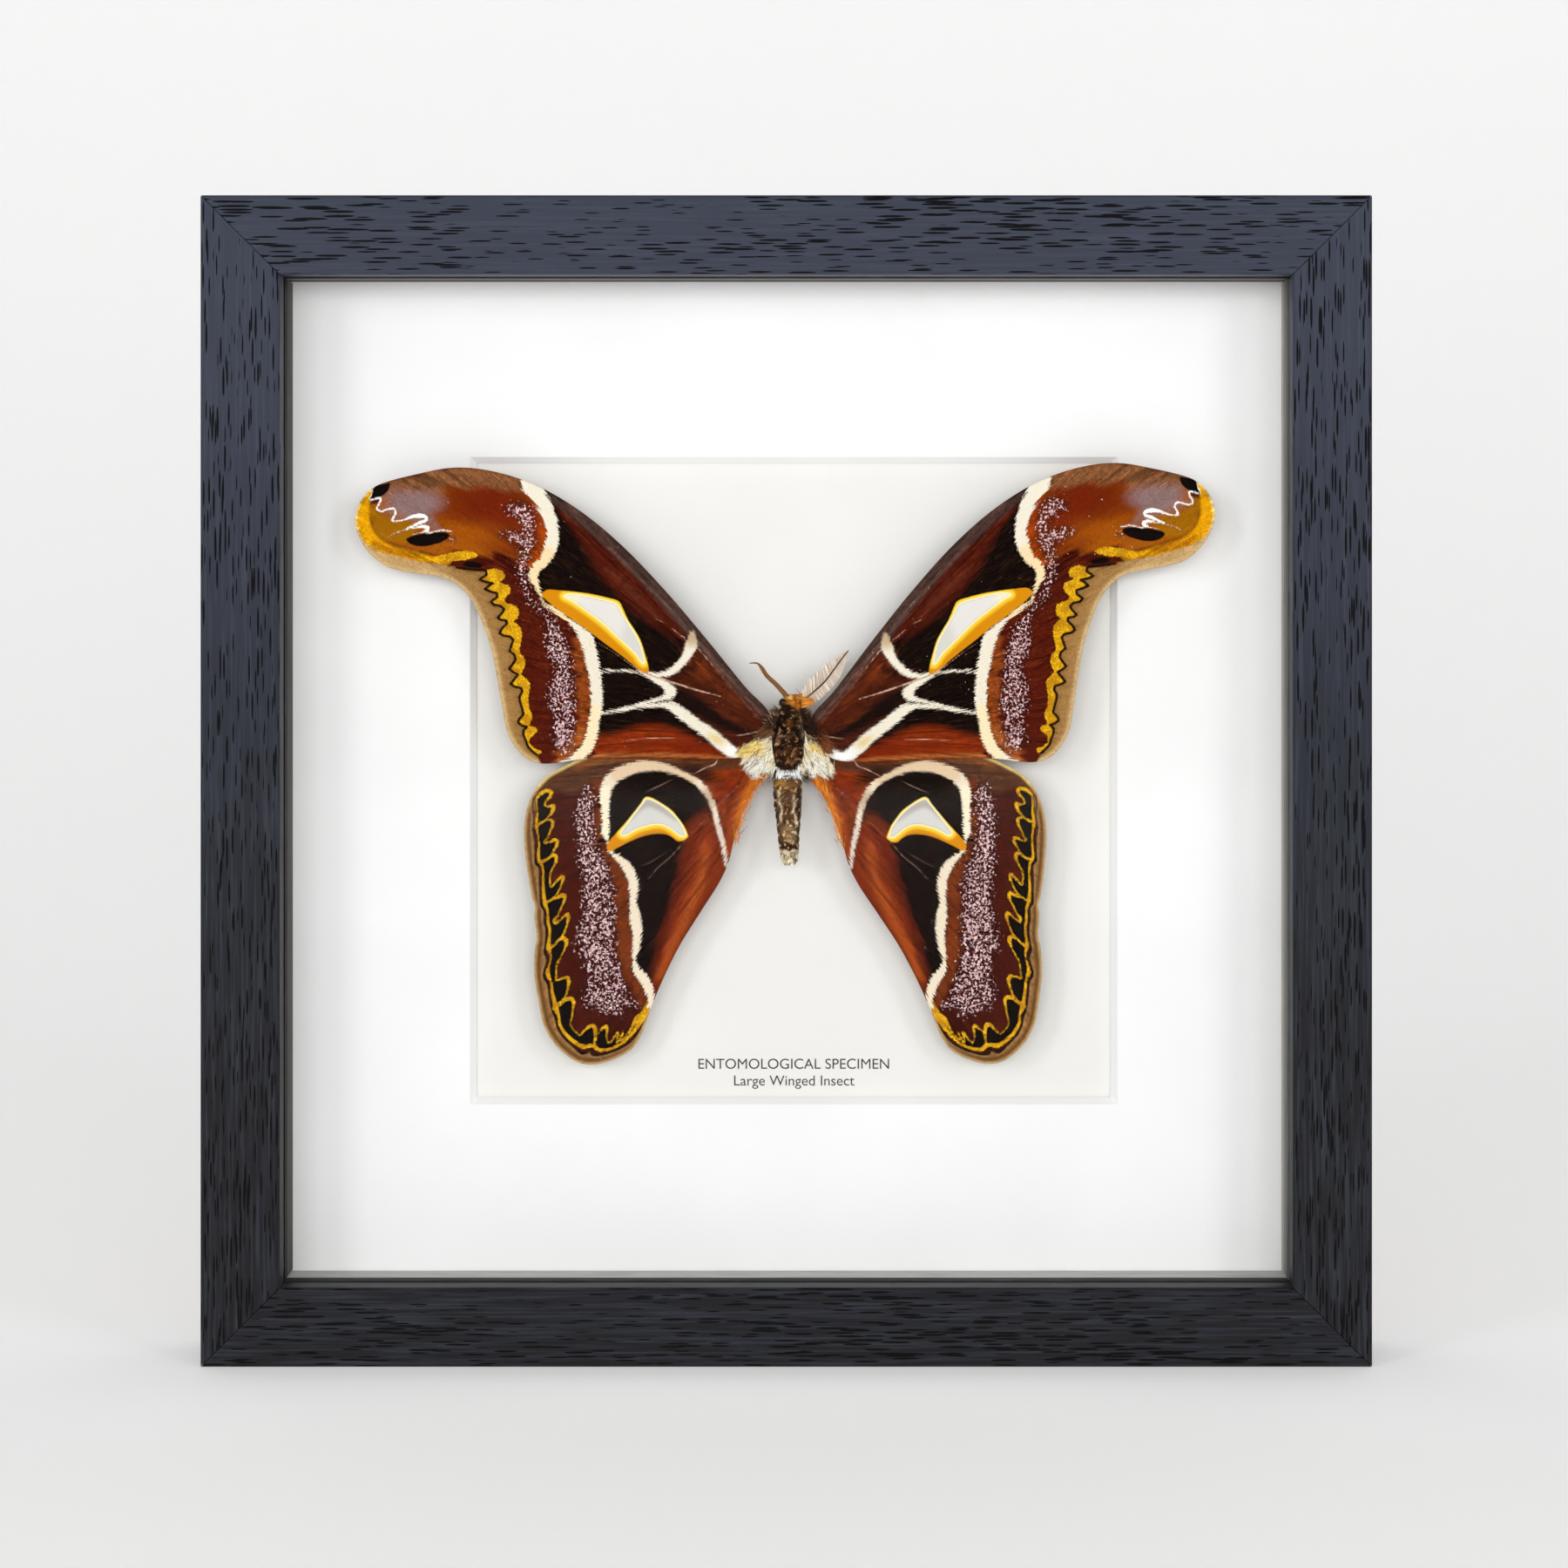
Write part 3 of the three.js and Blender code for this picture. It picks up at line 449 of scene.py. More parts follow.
def fore_ground(where):
    """Soft colours of the forewing."""
    ground = Ground(ragged(where, FORE_ROOT), (86, 23, 9))
    orange = (196, 80, 8)
    ground.field([(-98, 209.5), (-88, 213), (-78, 215), (-70, 214), (-62, 211), (-58, 205), (-58.5, 198),
                  (-61, 193), (-70, 193.6), (-75, 194.6), (-86, 194.6), (-94, 196.2), (-99, 199.2),
                  (-101.2, 204), (-99.8, 208)], 1.6, (166, 88, 14))
    ground.band([(-60, 211, 3), (-60.6, 205, 5), (-59.6, 200, 5.4), (-60.4, 195, 4.4), (-62.6, 191.6, 2)],
                1.6, orange)
    ground.spot(-80, 203.6, 9, 5.6, 0, (139, 60, 4), 0.7)
    ground.spot(-79, 207.5, 10, 4.2, 8, (118, 42, 4), 0.85)
    ground.spot(-69.5, 205.6, 10.5, 7.6, -12, (110, 28, 5), 0.97)
    ground.spot(-66.5, 198.6, 7, 6, 0, (120, 38, 9), 0.85)
    ground.spot(-76, 198.4, 6, 3.2, 0, (174, 88, 7), 0.6)
    ground.band([(-98, 210, 2.4), (-90, 211.8, 4.4), (-82, 213, 5), (-74, 212.8, 4.4), (-65, 211.2, 3)],
                2.6, (143, 92, 56), 0.95)
    ground.field([(-98.4, 206.6), (-95, 208.6), (-90, 209.6), (-86, 209.4), (-84, 207), (-84.4, 204),
                  (-85.6, 201.2), (-87, 202), (-90, 203), (-94, 203.4), (-97, 205.3)], 4.6,
                 (142, 112, 110))
    ground.field([(-99.4, 205), (-95.5, 202.6), (-92, 202.4), (-88, 201), (-89, 199.4), (-93, 197.4),
                  (-97, 197.4), (-100.2, 200), (-101.2, 203.5), (-100.8, 206.8)], 1.0, (164, 102, 6))
    ground.field([(-73.5, 193.4), (-69, 193.8), (-65.5, 192.2), (-65.8, 189), (-69, 190.8), (-74, 190.9)],
                 1.0, (72, 14, 6))
    ground.band([(-50.6, 173.5, 2.2), (-49.9, 168, 3.4), (-49.2, 160, 3.4), (-49.8, 152, 3.4),
                 (-52.2, 147.2, 3.0), (-56, 144.8, 1.8)], 1.6, (150, 70, 24), 0.95)
    ground.band([(-50.2, 151, 2.4), (-52.6, 146.6, 2.4), (-56, 144.4, 1.6)], 1.2, (190, 100, 40), 0.8)
    paint_fore_inside(ground)
    # The bands along the rim keep clean edges
    ground.where = where
    ground.band([(-101.2, 209.6, 1.6), (-102.6, 207, 3.1), (-103, 203.5, 3.6), (-102.4, 200.5, 3.6),
                 (-100.8, 197.7, 3.5), (-98, 195.7, 3.2), (-95, 194.7, 2.8), (-91, 193.9, 2.3),
                 (-87, 193.1, 1.7), (-82, 192.3, 0.8)], 0.9, (238, 165, 7))
    ground.band([(-99.6, 197, 1.4), (-97.4, 195.7, 2), (-94, 194.6, 2), (-90, 193.8, 1.8)], 1.4,
                (184, 112, 8), 0.85)
    ground.band([(-100.5, 210.5, 0.8), (-103, 208.2, 1), (-104.5, 204.5, 1.2), (-104.7, 201.5, 1.2),
                 (-103.9, 198.6, 1.1)], 0.7, (252, 230, 150))
    paint_fore_margin(ground)
    # The clear window is painted with the tones of the card behind it, with a paler spot and a greyer one
    # of painted light and shade.
    pane = area(where, FORE_CLEAR)
    ground.paint(pane, 0.5, (230, 224, 219))
    ground.paint(np.maximum(blob(where, -53, 183.6, 3, 1.4), pane), 0.8, (242, 230, 202))
    ground.paint(np.maximum(blob(where, -37, 173, 2.6, 4.5, 20), pane), 0.8, (212, 208, 202), 0.8)
    return ground.colours


def paint_fore_inside(ground):
    """The dark part between the root and the long cream band."""
    inside = [(-61.5, 212.5), (-60, 208.5), (-57.4, 203), (-56.8, 199), (-57.8, 195), (-60.6, 191),
              (-61.4, 188.8), (-60.2, 185.4), (-59.4, 182.8), (-53, 178.3), (-49.2, 174.6), (-47.4, 169),
              (-46.3, 163), (-46.2, 157), (-47.2, 151), (-48.6, 147), (-47, 143.6), (-2, 143.6),
              (-2, 158), (-30, 187.5), (-50, 206)]
    red = (80, 22, 9)
    ground.field(inside, 0.3, (16, 7, 5))
    ground.band([(-54, 204.6, 1.2), (-50, 200.5, 3.6), (-45, 195, 6.5), (-40, 189.6, 8.5),
                 (-35, 184.5, 8.6), (-30, 179.6, 7), (-26, 175.6, 4)], 3.2, red)
    ground.band([(-44, 191, 1.6), (-38, 185.5, 2.2), (-31, 178.5, 1.6)], 1.8, (104, 46, 28), 0.55)
    ground.field([(-24, 172.5), (-26, 167.5), (-30, 165), (-28.5, 161), (-29, 159), (-24, 155.5),
                  (-18, 151), (-13, 147), (-3, 149), (-3, 157), (-12, 164), (-18, 170.5)], 1.6,
                 (76, 28, 13))
    ground.spot(-21.5, 166.8, 3.6, 2.0, -40, (128, 54, 22), 0.8)
    ground.spot(-14, 160, 4.4, 1.4, -45, (106, 44, 20), 0.7)
    ground.band([(-27, 165, 1.6), (-24, 166.4, 2.2), (-21.5, 168.6, 1.8)], 1.8, (34, 12, 8), 0.75)
    ground.band([(-30, 162.4, 2.4), (-25.5, 159.6, 4.0), (-20.7, 156.8, 4.2), (-16, 154.2, 3.4),
                 (-12, 151.9, 2.2), (-7.5, 150.4, 1.4)], 2.4, (22, 10, 8))
    ground.spot(-15, 155.6, 3.2, 0.9, -35, (104, 44, 20), 0.6)
    ground.band([(-4, 155.4, 3), (-12, 163.6, 3.6), (-22, 175.4, 4.2), (-32, 187, 4.4), (-42, 197, 4),
                 (-52, 205, 3.2), (-58, 208.8, 1.6)], 1.4, (78, 55, 48))
    ground.band([(-6, 155.2, 0.5), (-14, 164.2, 0.6), (-24, 175.8, 0.6), (-34, 187, 0.6),
                 (-44, 196.8, 0.4)], 0.8, (128, 98, 88), 0.5)
    ground.band([(-6, 153.6, 0.3), (-13.4, 162, 0.4), (-19.4, 169.4, 0.5)], 0.6, (136, 84, 68), 0.7)
    ground.field([(-46.4, 149.6), (-42, 150.6), (-36, 152.6), (-30, 152.6), (-24, 150.2), (-18, 147.4),
                  (-14, 145.6), (-12, 144), (-47, 144)], 3.0, (138, 44, 8))
    ground.spot(-22.5, 147.2, 6, 1.6, -8, (118, 28, 5), 0.7)
    ground.band([(-47, 145.3, 1.2), (-38, 145.5, 1.1), (-28, 145.5, 0.9), (-15, 145, 0.6)], 0.9,
                (182, 102, 48))


def paint_fore_margin(ground):
    """The tan margin: darker beside the wavy line, paler at the tip and along the edge."""
    where = ground.where
    tan = fore_tan(where)
    margin = Ground(where, (172, 128, 74))
    margin.paint(where[:, 0] + 84, 8, (198, 158, 104))
    near_line = np.exp(-np.maximum(-tan, 0) / 1.1) * (where[:, 0] > -81)
    margin.blend(0.7 * near_line, srgb(134, 92, 42))
    margin.paint(-area(where, FORE_OUTLINE) - 0.9, 1.2, (214, 180, 128))
    ground.blend(cover(tan, 0.25) * (tan < 0), margin.colours)


def fore_light(where):
    """Colours of the forewing's pale bands."""
    light = Ground(where, (240, 230, 211))
    light.band([(-58, 194, 4), (-61, 190, 4), (-60, 185, 3), (-54, 179, 3)], 1.5, (245, 219, 174))
    light.band([(-46.8, 156, 4), (-47.5, 150, 4), (-49.5, 146, 4)], 2, (250, 229, 188))
    light.spot(-23, 174, 2.4, 2, 0, (196, 168, 132))
    light.spot(-17, 149.4, 2.2, 1, -30, (228, 200, 128), 0.8)
    light.spot(-11.5, 146, 3.6, 1.8, -20, (250, 248, 246))
    return light.colours


def hind_light(where):
    """Colours of the hindwing's pale bands."""
    light = Ground(where, (239, 223, 198))
    light.band([(-44.1, 127, 4), (-44.1, 136, 4)], 2, (251, 236, 207))
    light.band([(-41, 141, 4), (-35, 143, 4), (-28, 142, 4), (-23, 140, 3)], 2, (229, 200, 166))
    light.spot(-18.9, 135.2, 1.6, 2.4, 20, (200, 172, 146))
    light.band([(-16.6, 128, 3), (-15, 119, 3)], 2, (224, 204, 188))
    return light.colours


def fore_tan(where):
    """Signed distance to the tan margin, which lies outside the wavy black line."""
    beyond_wing = [(-58, 140), (-75, 140), (-110, 185), (-110, 200)]
    return area(where, FORE_TAN_TOP + FORE_WAVE + beyond_wing, smooth=False)


def fore_fields(where):
    """Named distances, in millimetres, that the scales' shader turns into crisp marks."""
    cream = nearest(where, (FORE_POSTMEDIAL, FORE_ANTEMEDIAL, FORE_FORK, FORE_BASAL_BAND))
    gold = np.minimum(
        area(where, FORE_WAVE[2:] + FORE_GOLD_EDGE, smooth=False), area(where, FORE_STREAK)
    )
    wave = [(x, z, FORE_WAVE_WIDTH) for x, z in FORE_WAVE]
    ink = np.minimum.reduce([
        area(where, FORE_BLACK_BLOCK), area(where, FORE_BLACK_SPOT), area(where, FORE_BLACK_DASH),
    ])
    white = nearest(where, [FORE_WHITE] + FORE_WHITE_SPECKS) + 0.07
    return {
        "cream": cream,
        "gold": gold,
        "ink": ink,
        "ink_line": ribbon(where, wave, smooth=False),
        "calm": np.minimum(fore_tan(where), ribbon(where, FORE_CALM)),
        "white": white,
        "amber": area(where, FORE_AMBER),
        "clear": area(where, FORE_CLEAR),
        "frost": nearest(where, FORE_FROST),
        "vein": nearest(where, FORE_VEINS),
    }


def hind_ground(where):
    """Soft colours of the hindwing."""
    ground = Ground(ragged(where, HIND_ROOT), (70, 18, 8))
    ground.field([(-62, 136), (-58, 141), (-50, 145.4), (-40, 148), (-20, 148), (-8, 147), (-12, 141.5),
                  (-22, 140.6), (-30, 143), (-38, 142.6), (-44, 139.4), (-47, 137.2), (-52, 136),
                  (-57, 137)], 2.2, (92, 56, 38))
    ground.band([(-50, 143, 2), (-43, 145.4, 3.4), (-33, 146.2, 4), (-24, 145.6, 3.4)], 2, (142, 84, 46),
                0.85)
    ground.band([(-26, 145.4, 3.4), (-18, 144.6, 3), (-9, 144.4, 3)], 2, (104, 52, 26), 0.85)
    ground.band([(-52, 138.6, 1.6), (-46, 141.4, 1.4), (-40, 144, 0.9)], 1.4, (84, 56, 40), 0.6)
    ground.band([(-46.2, 138, 2.8), (-46.4, 132, 2.6), (-46.2, 127, 2.4), (-45, 123.3, 2.4),
                 (-42.2, 119.6, 2.8), (-40.4, 115.5, 3.6), (-40, 110, 3.8), (-39.7, 104, 4),
                 (-39.2, 98, 3.8), (-39, 94.5, 3), (-36.6, 90, 3), (-35.8, 86, 2.4)], 1.8, (122, 52, 19))
    ground.spot(-44.6, 123.2, 1.8, 1.6, 0, (110, 44, 16), 0.8)
    ground.field([(-44.2, 124), (-44.2, 137), (-41, 141), (-35, 142.8), (-28, 142), (-22, 139),
                  (-18.4, 134.5), (-16.8, 128), (-14.8, 119), (-15, 116), (-25, 100), (-32.4, 85),
                  (-33.5, 89), (-36.4, 93.6), (-36.6, 99), (-36.4, 105), (-37.2, 110), (-37.6, 116),
                  (-41, 120.4), (-43.6, 122.6)], 0.3, (14, 6, 5))
    ground.field([(-24.5, 127.6), (-19.5, 131.4), (-16.8, 128), (-15, 119.5), (-15, 115.5), (-19, 110),
                  (-24, 101.8), (-28, 94.5), (-32, 86), (-32.6, 91), (-31.4, 97), (-29, 105),
                  (-26.4, 114), (-25, 121)], 4.2, (132, 46, 14))
    ground.band([(-21.6, 127.4, 2.2), (-25.6, 117, 1.8), (-28.4, 106.4, 1.6), (-31.4, 95.6, 1.2)], 2.4,
                (92, 24, 8), 0.8)
    ground.band([(-19.6, 123, 2), (-21, 115, 2.6), (-24, 107.4, 2.2), (-27.8, 99.6, 1.8),
                 (-31, 91.6, 1.4)], 2.4, (180, 82, 26), 0.8)
    ground.field([(-23, 140.4), (-12, 142.4), (-4, 143), (-7, 136), (-10.6, 130.6), (-12.4, 124),
                  (-13.4, 119), (-14.6, 121), (-16, 129), (-18, 135)], 1.2, (152, 58, 14))
    ground.spot(-21, 141, 5, 1.8, -25, (44, 20, 13), 0.95)
    ground.spot(-14.5, 137.5, 2.2, 4.2, -30, (122, 28, 8), 0.7)
    ground.band([(-10.5, 140.6, 0.8), (-13, 136, 1.1), (-14.8, 131, 0.9), (-15.2, 126, 0.6)], 1.4,
                (70, 24, 10), 0.7)
    ground.band([(-6, 140.6, 2.6), (-8.6, 136.8, 2.8), (-10.8, 132.6, 2.4), (-12.4, 127, 1.4)], 1.8,
                (206, 110, 20))
    ground.spot(-11.8, 124.6, 1.4, 3.4, 12, (92, 44, 20), 0.7)
    ground.band([(-33.2, 85, 1.8), (-34.4, 82.4, 2.4), (-35.8, 80, 1.4)], 0.8, (210, 136, 34))
    # The bands along the rim keep clean edges
    ground.where = where
    ground.band([(-61.5, 136.6, 0.8), (-58.2, 140.4, 1.2), (-55, 142.4, 1.4), (-51, 144.5, 1.6),
                 (-46, 146.4, 1.4)], 0.8, (238, 206, 128))
    paint_hind_margin(ground)
    # The clear window is painted with the tones of the card behind it, and a painted shadow along its upper
    # edge.
    pane = area(where, HIND_CLEAR)
    ground.paint(pane, 0.5, (216, 212, 208))
    shade = ribbon(where, [(-37.6, 130.4, 0.6), (-35, 133.2, 1.6), (-33.4, 134, 2.4), (-31, 132.8, 1.6),
                           (-27, 129.8, 0.4)])
    ground.paint(np.maximum(shade, pane), 1.6, (174, 164, 157), 0.9)
    return ground.colours


def paint_hind_margin(ground):
    """The tan rim outside the black line, with a darker line along its middle."""
    where = ground.where
    line = [p[:2] for p in HIND_INK_LINE]
    rim = area(where, [(-60.2, 136.4)] + line + [(-33, 84), (-30, 76), (-40, 66), (-60, 66), (-70, 100),
                                                 (-68, 137)], smooth=False)
    ground.band([(-61.9, 134.5, 1.4), (-62.2, 128, 1.4)], 0.6, (178, 132, 80))
    ground.paint(rim, 0.25, (146, 102, 53))
    outline = -area(where, HIND_OUTLINE)
    middle = np.abs(outline - 1.2) - 0.3
    inner = np.abs(-rim - 0.5) - 0.2
    outside = np.where(rim < 0, 0.0, 1.0)
    ground.paint(middle + outside, 0.5, (92, 58, 24), 0.85)
    ground.paint(inner + outside, 0.4, (182, 138, 98), 0.6)
    ground.paint(outline - 0.4 + outside, 0.6, (214, 182, 134), 0.9)


def hind_fields(where):
    """The same distances for the hindwing, which has no white mark and no wavy line."""
    cream = nearest(where, (HIND_ARC, HIND_SCALLOPS)) + 0.1
    outer = spline(HIND_OUTER_LINE, steps=3)
    hooks = spline(HIND_HOOKS, steps=3)
    lunules = area(where, np.vstack([outer[:, :2], hooks[::-1, :2]]), smooth=False)
    gold = np.minimum(ribbon(where, outer, smooth=False), ribbon(where, hooks, smooth=False)) + 0.08
    return {
        "cream": cream,
        "gold": gold,
        "ink": np.minimum(lunules, ribbon(where, HIND_INK_LINE)),
        "ink_line": np.full(len(where), NOWHERE),
        "calm": -area(where, HIND_OUTLINE) - 2.4,
        "white": np.full(len(where), NOWHERE),
        "amber": area(where, HIND_AMBER),
        "clear": area(where, HIND_CLEAR),
        "frost": nearest(where, HIND_FROST),
        "vein": nearest(where, HIND_VEINS),
    }


# Node trees

class Shader:
    """A material under construction; each method adds a node and returns its output."""

    def __init__(self, name):
        self.material = bpy.data.materials.new(name)
        self.material.use_nodes = True
        self.tree = self.material.node_tree
        self.surface = self.tree.nodes["Principled BSDF"]
        self.output = self.tree.nodes["Material Output"]

    def put(self, socket, value):
        """Links an output to a socket, or sets the socket to a constant."""
        if isinstance(value, bpy.types.NodeSocket):
            self.tree.links.new(value, socket)
        elif socket.type == "RGBA":
            socket.default_value = (*value, 1.0)
        else:
            socket.default_value = value

    def finish(self, tone, grain, roughness, relief, **others):
        """Sets a colour, a roughness between two values by the grain, a relief and other sockets.

        The other sockets are named with underscores for spaces. Returns the material.
        """
        rough = self.step(grain, 0.3, 0.7, *roughness)
        values = {"Base_Color": tone, "Roughness": rough, "Normal": self.bump(*relief), **others}
        for name, value in values.items():
            self.put(self.surface.inputs[name.replace("_", " ")], value)
        return self.material

    def fill(self, node, inputs, output=0):
        """Fills in a node's inputs and returns one of its outputs."""
        for key, value in inputs.items():
            self.put(node.inputs[key], value)
        return node.outputs[output]

    def make(self, kind, inputs, output=0):
        """The same for a new node that needs no setting."""
        return self.fill(self.tree.nodes.new(kind), inputs, output)

    def math(self, operation, a, b=0.0):
        node = self.tree.nodes.new("ShaderNodeMath")
        node.operation = operation
        return self.fill(node, {0: a, 1: b})

    def mix(self, share, a, b):
        node = self.tree.nodes.new("ShaderNodeMix")
        node.data_type = "RGBA"
        return self.fill(node, {"Factor": share, 6: a, 7: b}, 2)

    def step(self, value, low, high, to_low=0.0, to_high=1.0):
        """Smooth step of a value from low to high."""
        node = self.tree.nodes.new("ShaderNodeMapRange")
        node.interpolation_type = "SMOOTHSTEP"
        ends = {"From Min": low, "From Max": high, "To Min": to_low, "To Max": to_high}
        return self.fill(node, {"Value": value, **ends}, "Result")

    def scaled(self, colour, factor):
        """A colour made lighter or darker by a factor."""
        node = self.tree.nodes.new("ShaderNodeVectorMath")
        node.operation = "SCALE"
        return self.fill(node, {0: colour, "Scale": factor})

    def attribute(self, name, output="Fac"):
        node = self.tree.nodes.new("ShaderNodeAttribute")
        node.attribute_name = name
        return node.outputs[output]

    def place(self):
        return self.tree.nodes.new("ShaderNodeTexCoord").outputs["Object"]

    def coordinate(self, number):
        """One coordinate of the place on the object, 0 for x to 2 for z."""
        return self.make("ShaderNodeSeparateXYZ", {0: self.place()}, number)

    def stretch(self, vector, x, y, z, turn=(0.0, 0.0, 0.0)):
        return self.make("ShaderNodeMapping", {"Vector": vector, "Rotation": turn, "Scale": (x, y, z)})

    def join(self, x, y, z):
        return self.make("ShaderNodeCombineXYZ", {0: x, 1: y, 2: z})

    def noise(self, vector, scale, detail=2.0, roughness=0.5, distortion=0.0):
        inputs = {"Vector": vector, "Scale": scale, "Detail": detail, "Roughness": roughness,
                  "Distortion": distortion}
        return self.make("ShaderNodeTexNoise", inputs, "Fac")

    def cells(self, vector, scale):
        """Distance to the nearest scattered point and that point's own random number."""
        node = self.tree.nodes.new("ShaderNodeTexVoronoi")
        distance = self.fill(node, {"Vector": vector, "Scale": scale}, "Distance")
        return distance, self.math("ADD", node.outputs["Color"], 0.0)

    def bump(self, height, strength, distance):
        return self.make("ShaderNodeBump", {"Strength": strength, "Distance": distance, "Height": height})


def wood(name, upright, slant):
    """Dark stained open-grain wood; the grain runs along x, or along z where upright."""
    s = Shader(name)
    turn = (0.0, slant, 0.0)
    pore_length, streak_length = (1, 1, 0.07), (1, 1, 0.03)
    if not upright:
        pore_length, streak_length = pore_length[::-1], streak_length[::-1]
    along = s.stretch(s.place(), *pore_length, turn)
    fine = s.stretch(s.place(), *streak_length, turn)
    # Long pores with frayed ends, some larger, in loose groups
    distance, chance = s.cells(along, 1450)
    groups = s.noise(along, 160, 2.0, 0.5)
    frayed = s.math("MULTIPLY", s.noise(along, 3000, 2.0, 0.6), 0.24)
    size = s.math("ADD", s.step(chance, 0.1, 1.0, 0.15, 0.37), s.step(groups, 0.3, 0.65, 0.0, 0.21))
    pore = s.step(s.math("SUBTRACT", s.math("ADD", distance, frayed), size), -0.02, 0.05, 1.0, 0.0)
    streaks = s.noise(fine, 1500, 3.0, 0.6)
    clouds = s.noise(s.place(), 28, 3.0, 0.5)
    # Painted light and reflection: bluer and paler towards the top, where the light of a window would fall
    high = s.step(s.math("ADD", s.coordinate(2), s.math("MULTIPLY", clouds, 0.05)), 0.08, 0.31)
    tone = s.mix(high, srgb(30, 30, 33), srgb(56, 60, 73))
    tone = s.mix(s.step(streaks, 0.4, 0.8, 0.0, 0.3), tone, srgb(82, 87, 100))
    tone = s.mix(pore, tone, srgb(7, 7, 8))
    relief = s.math("SUBTRACT", s.math("MULTIPLY", streaks, 0.18), pore)
    return s.finish(tone, streaks, (0.42, 0.56), (relief, 0.8, 0.0003), Specular_IOR_Level=0.12)


def paper(name, colour, grain=0.25):
    """Matt paper or board with fine fibres."""
    s = Shader(name)
    fibres = s.noise(s.place(), 900, 4.0, 0.65)
    clouds = s.noise(s.place(), 22, 2.0, 0.5)
    pale = srgb(*colour)
    tone = s.mix(s.step(clouds, 0.3, 0.7), 0.965 * pale, pale)
    return s.finish(tone, fibres, (0.82, 0.95), (fibres, grain, 0.00008), Specular_IOR_Level=0.2)


def painted_shade_wall(name, upright, edge, middle, back):
    """Inner wall of the box: three tones from the glass to the mat, with streaks along the rail; the tones,
    given for each side, are painted light and shade.
    """
    s = Shader(name)
    stretched = s.stretch(s.place(), 1, 1, 0.06) if upright else s.stretch(s.place(), 0.06, 1, 1)
    grain = s.noise(stretched, 1500, 3.0, 0.6)
    depth = s.math("ADD", s.coordinate(1), s.math("MULTIPLY", grain, 0.002))
    tone = s.mix(s.step(depth, -0.0035, -0.0015), srgb(*edge), srgb(*middle))
    tone = s.mix(s.step(depth, 0.002, 0.0035), tone, srgb(*back))
    tone = s.mix(s.step(grain, 0.45, 0.7, 0.0, 0.3), tone, srgb(22, 20, 19))
    return s.finish(tone, grain, (0.6, 0.85), (grain, 0.3, 0.0002), Specular_IOR_Level=0.15)


def fibreboard():
    """Brown pressed board of the back."""
    s = Shader("fibreboard")
    fibres = s.noise(s.stretch(s.place(), 1, 1, 0.45), 700, 5.0, 0.7)
    clouds = s.noise(s.place(), 35, 3.0, 0.6)
    tone = s.mix(s.step(clouds, 0.3, 0.7), srgb(128, 92, 60), srgb(150, 112, 76))
    tone = s.mix(s.step(fibres, 0.5, 0.75), tone, srgb(92, 62, 38))
    return s.finish(tone, fibres, (0.6, 0.85), (fibres, 0.4, 0.0002), Specular_IOR_Level=0.3)


def steel():
    """Slightly stained brushed steel."""
    s = Shader("steel")
    brushed = s.noise(s.stretch(s.place(), 0.05, 1, 1), 2600, 3.0, 0.6)
    stains = s.noise(s.place(), 300, 3.0, 0.6)
    tone = s.mix(s.step(stains, 0.45, 0.75), srgb(188, 190, 192), srgb(150, 148, 142))
    return s.finish(tone, brushed, (0.26, 0.44), (brushed, 0.25, 0.00005), Metallic=1.0)


def glazing():
    """Clear glass that shows what is behind it and mirrors a little, more at a slant."""
    s = Shader("glazing")
    tree = s.tree
    tree.nodes.remove(s.surface)
    clear = tree.nodes.new("ShaderNodeBsdfTransparent")
    clear.inputs["Color"].default_value = (0.985, 0.99, 0.988, 1)
    shine = tree.nodes.new("ShaderNodeBsdfGlossy")
    shine.inputs["Roughness"].default_value = 0.03
    fresnel = tree.nodes.new("ShaderNodeFresnel")
    fresnel.inputs["IOR"].default_value = 1.12
    both = tree.nodes.new("ShaderNodeMixShader")
    tree.links.new(fresnel.outputs[0], both.inputs[0])
    tree.links.new(clear.outputs[0], both.inputs[1])
    tree.links.new(shine.outputs[0], both.inputs[2])
    tree.links.new(both.outputs[0], s.output.inputs["Surface"])
    return s.material


